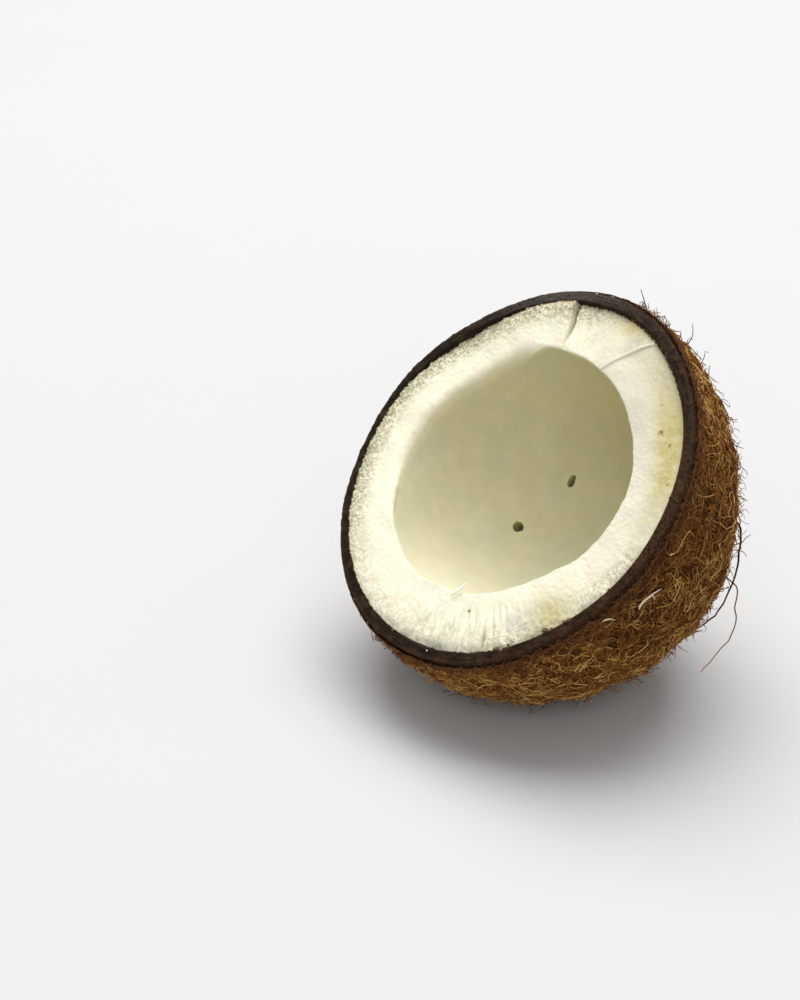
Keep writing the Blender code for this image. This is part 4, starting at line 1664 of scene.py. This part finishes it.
@dataclass
class Crumbs(Piece):
    """Crumbs on the cut, and the sliver of flesh that stands off the cavity's edge."""

    # How lumpy the crumbs are, and how large the lumps are beside them
    lumpy: float = 0.55
    lump_size: float = 0.65
    # Degrees round the cut, mm from its middle, half-length, half-width and half-height in mm,
    # turn of the crumb in degrees, height over the cut in mm, tone
    crumbs: tuple[tuple[float, ...], ...] = (
        (323.0, 50.4, 0.75, 0.6, 0.45, 20, 0.2, 0.2), (325.2, 50.9, 0.45, 0.4, 0.3, 80, 0.2, 0.5),
        (331.0, 51.4, 0.8, 0.45, 0.4, 60, 0.25, 0.25), (329.3, 50.6, 0.5, 0.4, 0.35, 10, 0.2, 0.55),
        (306.5, 50.8, 0.7, 0.5, 0.4, 40, 0.2, 0.15), (308.4, 51.4, 0.45, 0.35, 0.3, 70, 0.2, 0.6),
        (310.6, 50.5, 0.4, 0.35, 0.3, 15, 0.2, 0.1), (300.2, 51.0, 0.4, 0.3, 0.25, 30, 0.2, 0.3),
        (283.0, 51.9, 0.3, 0.2, 0.2, 0, 0.2, 0.9), (280.6, 51.6, 0.25, 0.2, 0.15, 50, 0.2, 0.8),
        (268.0, 51.0, 0.5, 0.4, 0.3, 20, 0.2, 0.2),
        (345.0, 50.6, 0.4, 0.3, 0.25, 45, 0.2, 0.5), (16.0, 50.9, 0.4, 0.3, 0.25, 0, 0.2, 0.4),
        (64.5, 51.2, 0.3, 0.22, 0.2, 30, 0.1, 0.1), (77.5, 50.6, 0.3, 0.2, 0.2, 80, 0.1, 0.1),
        (285.3, 34.1, 2.5, 0.50, 0.25, 71, 0.6, 1.0),
    )

    def build(self) -> None:
        """Makes the crumbs as one mesh and dresses them."""
        ball = bmesh.new()
        bmesh.ops.create_icosphere(ball, subdivisions=3, radius=1.0)
        shape = np.array([vertex.co[:] for vertex in ball.verts])
        faces = np.array([[vertex.index for vertex in face.verts] for face in ball.faces])
        ball.free()
        points, tones = [], []
        for number, (degrees, away, length, width, height, turn, lift, tone) in enumerate(self.crumbs):
            lumps = 1.0 + self.lumpy * grain(shape + 3.0 * number, self.lump_size)
            crumb = shape * lumps[:, None] * (np.array((length, width, height)) * MM)
            spin = np.array(Matrix.Rotation(math.radians(turn), 3, "Z"))
            angle = math.radians(degrees)
            place = np.array((away * MM * math.cos(angle), away * MM * math.sin(angle), 0.0))
            fallen = float(self.nut.flesh_break(np.array(angle), np.array(0.1)))
            place[2] = min(fallen, 0.0) * smooth(51.5, 50.0, away) + lift * MM
            points.append(self.nut.grown(crumb @ spin.T + place))
            tones.append(np.full(len(shape), tone))
        every = np.concatenate([faces + number * len(shape) for number in range(len(points))])
        made = self.add(np.concatenate(points), every.tolist(), {"tone": np.concatenate(tones)})
        self.settle(made, CrumbFinish().material())


def eased_through(values: Array, at: Array) -> Array:
    """A smooth curve that passes through evenly spaced values.

    Args:
        values: The values.
        at: Where the curve is read, counted in values from the first.

    Returns:
        What it reads there.
    """
    padded = np.concatenate([[2 * values[0] - values[1]], values, [2 * values[-1] - values[-2]]])
    step = np.minimum(at.astype(int), len(values) - 2)
    u = at - step
    a, b, c, d = (padded[step + k] for k in range(4))
    cubic = 2 * b + (c - a) * u + (2 * a - 5 * b + 4 * c - d) * u**2
    return 0.5 * (cubic + (3 * b - a - 3 * c + d) * u**3)


@dataclass(frozen=True)
class Studio:
    """The plain floor, the soft light and the camera at the photograph's angle."""

    azimuth: float = math.radians(49.8)
    elevation: float = math.radians(27.0)
    distance: float = 0.65
    focal_px: float = 2490.0
    frame_px: tuple[int, int] = (800, 1000)
    cut_middle_px: tuple[float, float] = (510.9, 473.0)
    sensor_mm: float = 36.0
    floor_size: float = 8.0
    sky: Colour = (0.99, 0.982, 0.972)
    sky_strength: float = 0.41
    lit_point: tuple[float, float, float] = (0.0, 0.0, 0.04)
    # Soft lights: name, place, side in metres, power in watts
    lamps: tuple[tuple[str, tuple[float, float, float], float, float], ...] = (
        ("overhead", (-0.50, 0.45, 2.0), 2.0, 60.0), ("fill", (1.1, -0.9, 0.8), 1.2, 6.5),
    )

    def floor(self) -> None:
        """A wide flat surface under the nut."""
        shape = bmesh.new()
        bmesh.ops.create_grid(shape, x_segments=8, y_segments=8, size=self.floor_size / 2.0)
        mesh = bpy.data.meshes.new("surface")
        shape.to_mesh(mesh)
        shape.free()
        made = linked("surface", mesh)
        made.data.materials.append(FloorFinish().material())

    def light(self, name: str, place: tuple[float, float, float], size: float, watts: float) -> None:
        """A square soft light aimed at the nut.

        Args:
            name: Its name.
            place: Where it hangs.
            size: Its side, in metres.
            watts: Its power.
        """
        lamp = bpy.data.lights.new(name, "AREA")
        lamp.size = size
        lamp.energy = watts
        made = linked(name, lamp)
        made.location = place
        aim = Vector(self.lit_point) - Vector(place)
        made.rotation_euler = aim.to_track_quat("-Z", "Y").to_euler()

    def lights(self) -> None:
        """A pale surround, a large key light overhead and a weak fill, with plain film tones."""
        bpy.context.scene.view_settings.view_transform = "Standard"
        world = bpy.data.worlds.new("pale_surround")
        world.use_nodes = True
        back = world.node_tree.nodes["Background"]
        back.inputs["Color"].default_value = (*self.sky, 1.0)
        back.inputs["Strength"].default_value = self.sky_strength
        bpy.context.scene.world = world
        for lamp in self.lamps:
            self.light(*lamp)

    def camera(self, nut: NutShape) -> None:
        """The camera, aimed so that the middle of the cut falls where the photo has it.

        Args:
            nut: The nut that it is aimed at.
        """
        data = bpy.data.cameras.new("photo_view")
        data.sensor_width = self.sensor_mm
        data.lens = self.focal_px * self.sensor_mm / max(self.frame_px)
        made = linked("photo_view", data)
        flat = math.cos(self.elevation)
        back = Vector(
            (math.sin(self.azimuth) * flat, -math.cos(self.azimuth) * flat, math.sin(self.elevation))
        )
        made.location = Vector(nut.rest_offset) + back * self.distance
        right = self.cut_middle_px[0] - self.frame_px[0] / 2.0
        above = self.frame_px[1] / 2.0 - self.cut_middle_px[1]
        reach = math.sqrt(right**2 + above**2 + self.focal_px**2)
        pitch = math.asin(-back.z * reach / math.hypot(self.focal_px, above))
        pitch -= math.atan2(above, self.focal_px)
        level = self.focal_px * math.cos(pitch) - above * math.sin(pitch)
        yaw = self.azimuth + math.atan2(right, level)
        made.rotation_euler = (math.pi / 2.0 + pitch, 0.0, yaw)
        bpy.context.scene.camera = made


def fibre_kinds(nut: NutShape) -> list[Fibres]:
    """The sorts of coir fibre, from the ones deep in the felt to the long loose ones.

    Args:
        nut: The nut that they grow on.

    Returns:
        The sorts, in the order in which they are built.
    """
    return [
        Fibres("coir_felt_low", "husk", nut=nut, count=4400, seed=11, length_mm=(6.0, 14.0),
               radius_mm=(0.12, 0.18), lift_mm=(0.0, 0.5), tone=(0.05, 0.50)),
        Fibres("coir_felt_high", "husk", nut=nut, count=4400, seed=12, lie=Lie.TIPPED,
               length_mm=(6.0, 14.0), radius_mm=(0.12, 0.17), lift_mm=(0.2, 0.8), tone=(0.10, 0.66)),
        Fibres("coir_strands", "husk", nut=nut, count=2100, stops=14, seed=13, lie=Lie.TIPPED,
               length_mm=(12.0, 30.0), radius_mm=(0.12, 0.18), lift_mm=(0.3, 1.1), curl=3.4,
               tone=(0.18, 0.90)),
        Fibres("coir_hairs", "husk", nut=nut, count=1300, stops=7, seed=14, lie=Lie.STANDING,
               length_mm=(3.0, 7.5), radius_mm=(0.09, 0.14), lift_mm=(1.2, 4.2), curl=1.8,
               tone=(0.05, 0.6)),
        Fibres("coir_rim", "husk", nut=nut, count=1150, stops=5, seed=15, lie=Lie.STANDING,
               length_mm=(1.5, 4.0), radius_mm=(0.08, 0.14), lift_mm=(0.2, 2.1), curl=1.4,
               tone=(0.0, 0.4), band=(0.002, 0.05), least_rise=1.0),
        LooseStrands("coir_loose", "husk", nut=nut),
    ]


def main() -> None:
    """Builds the pieces in order, then the floor, the lights and the camera."""
    logging.basicConfig(level=logging.INFO, format="%(name)s: %(message)s")
    nut = NutShape()
    Flesh("flesh_fine", "flesh", ("flesh",), nut).build()
    Shell("shell_fine", "shell", ("shell",), nut).build()
    Felt("husk_felt", "husk", ("husk",), nut).build()
    for fibres in fibre_kinds(nut):
        fibres.build()
    Crumbs("cut_crumbs", "flesh", nut=nut).build()
    studio = Studio()
    studio.floor()
    studio.lights()
    studio.camera(nut)


if __name__ == "__main__":
    main()
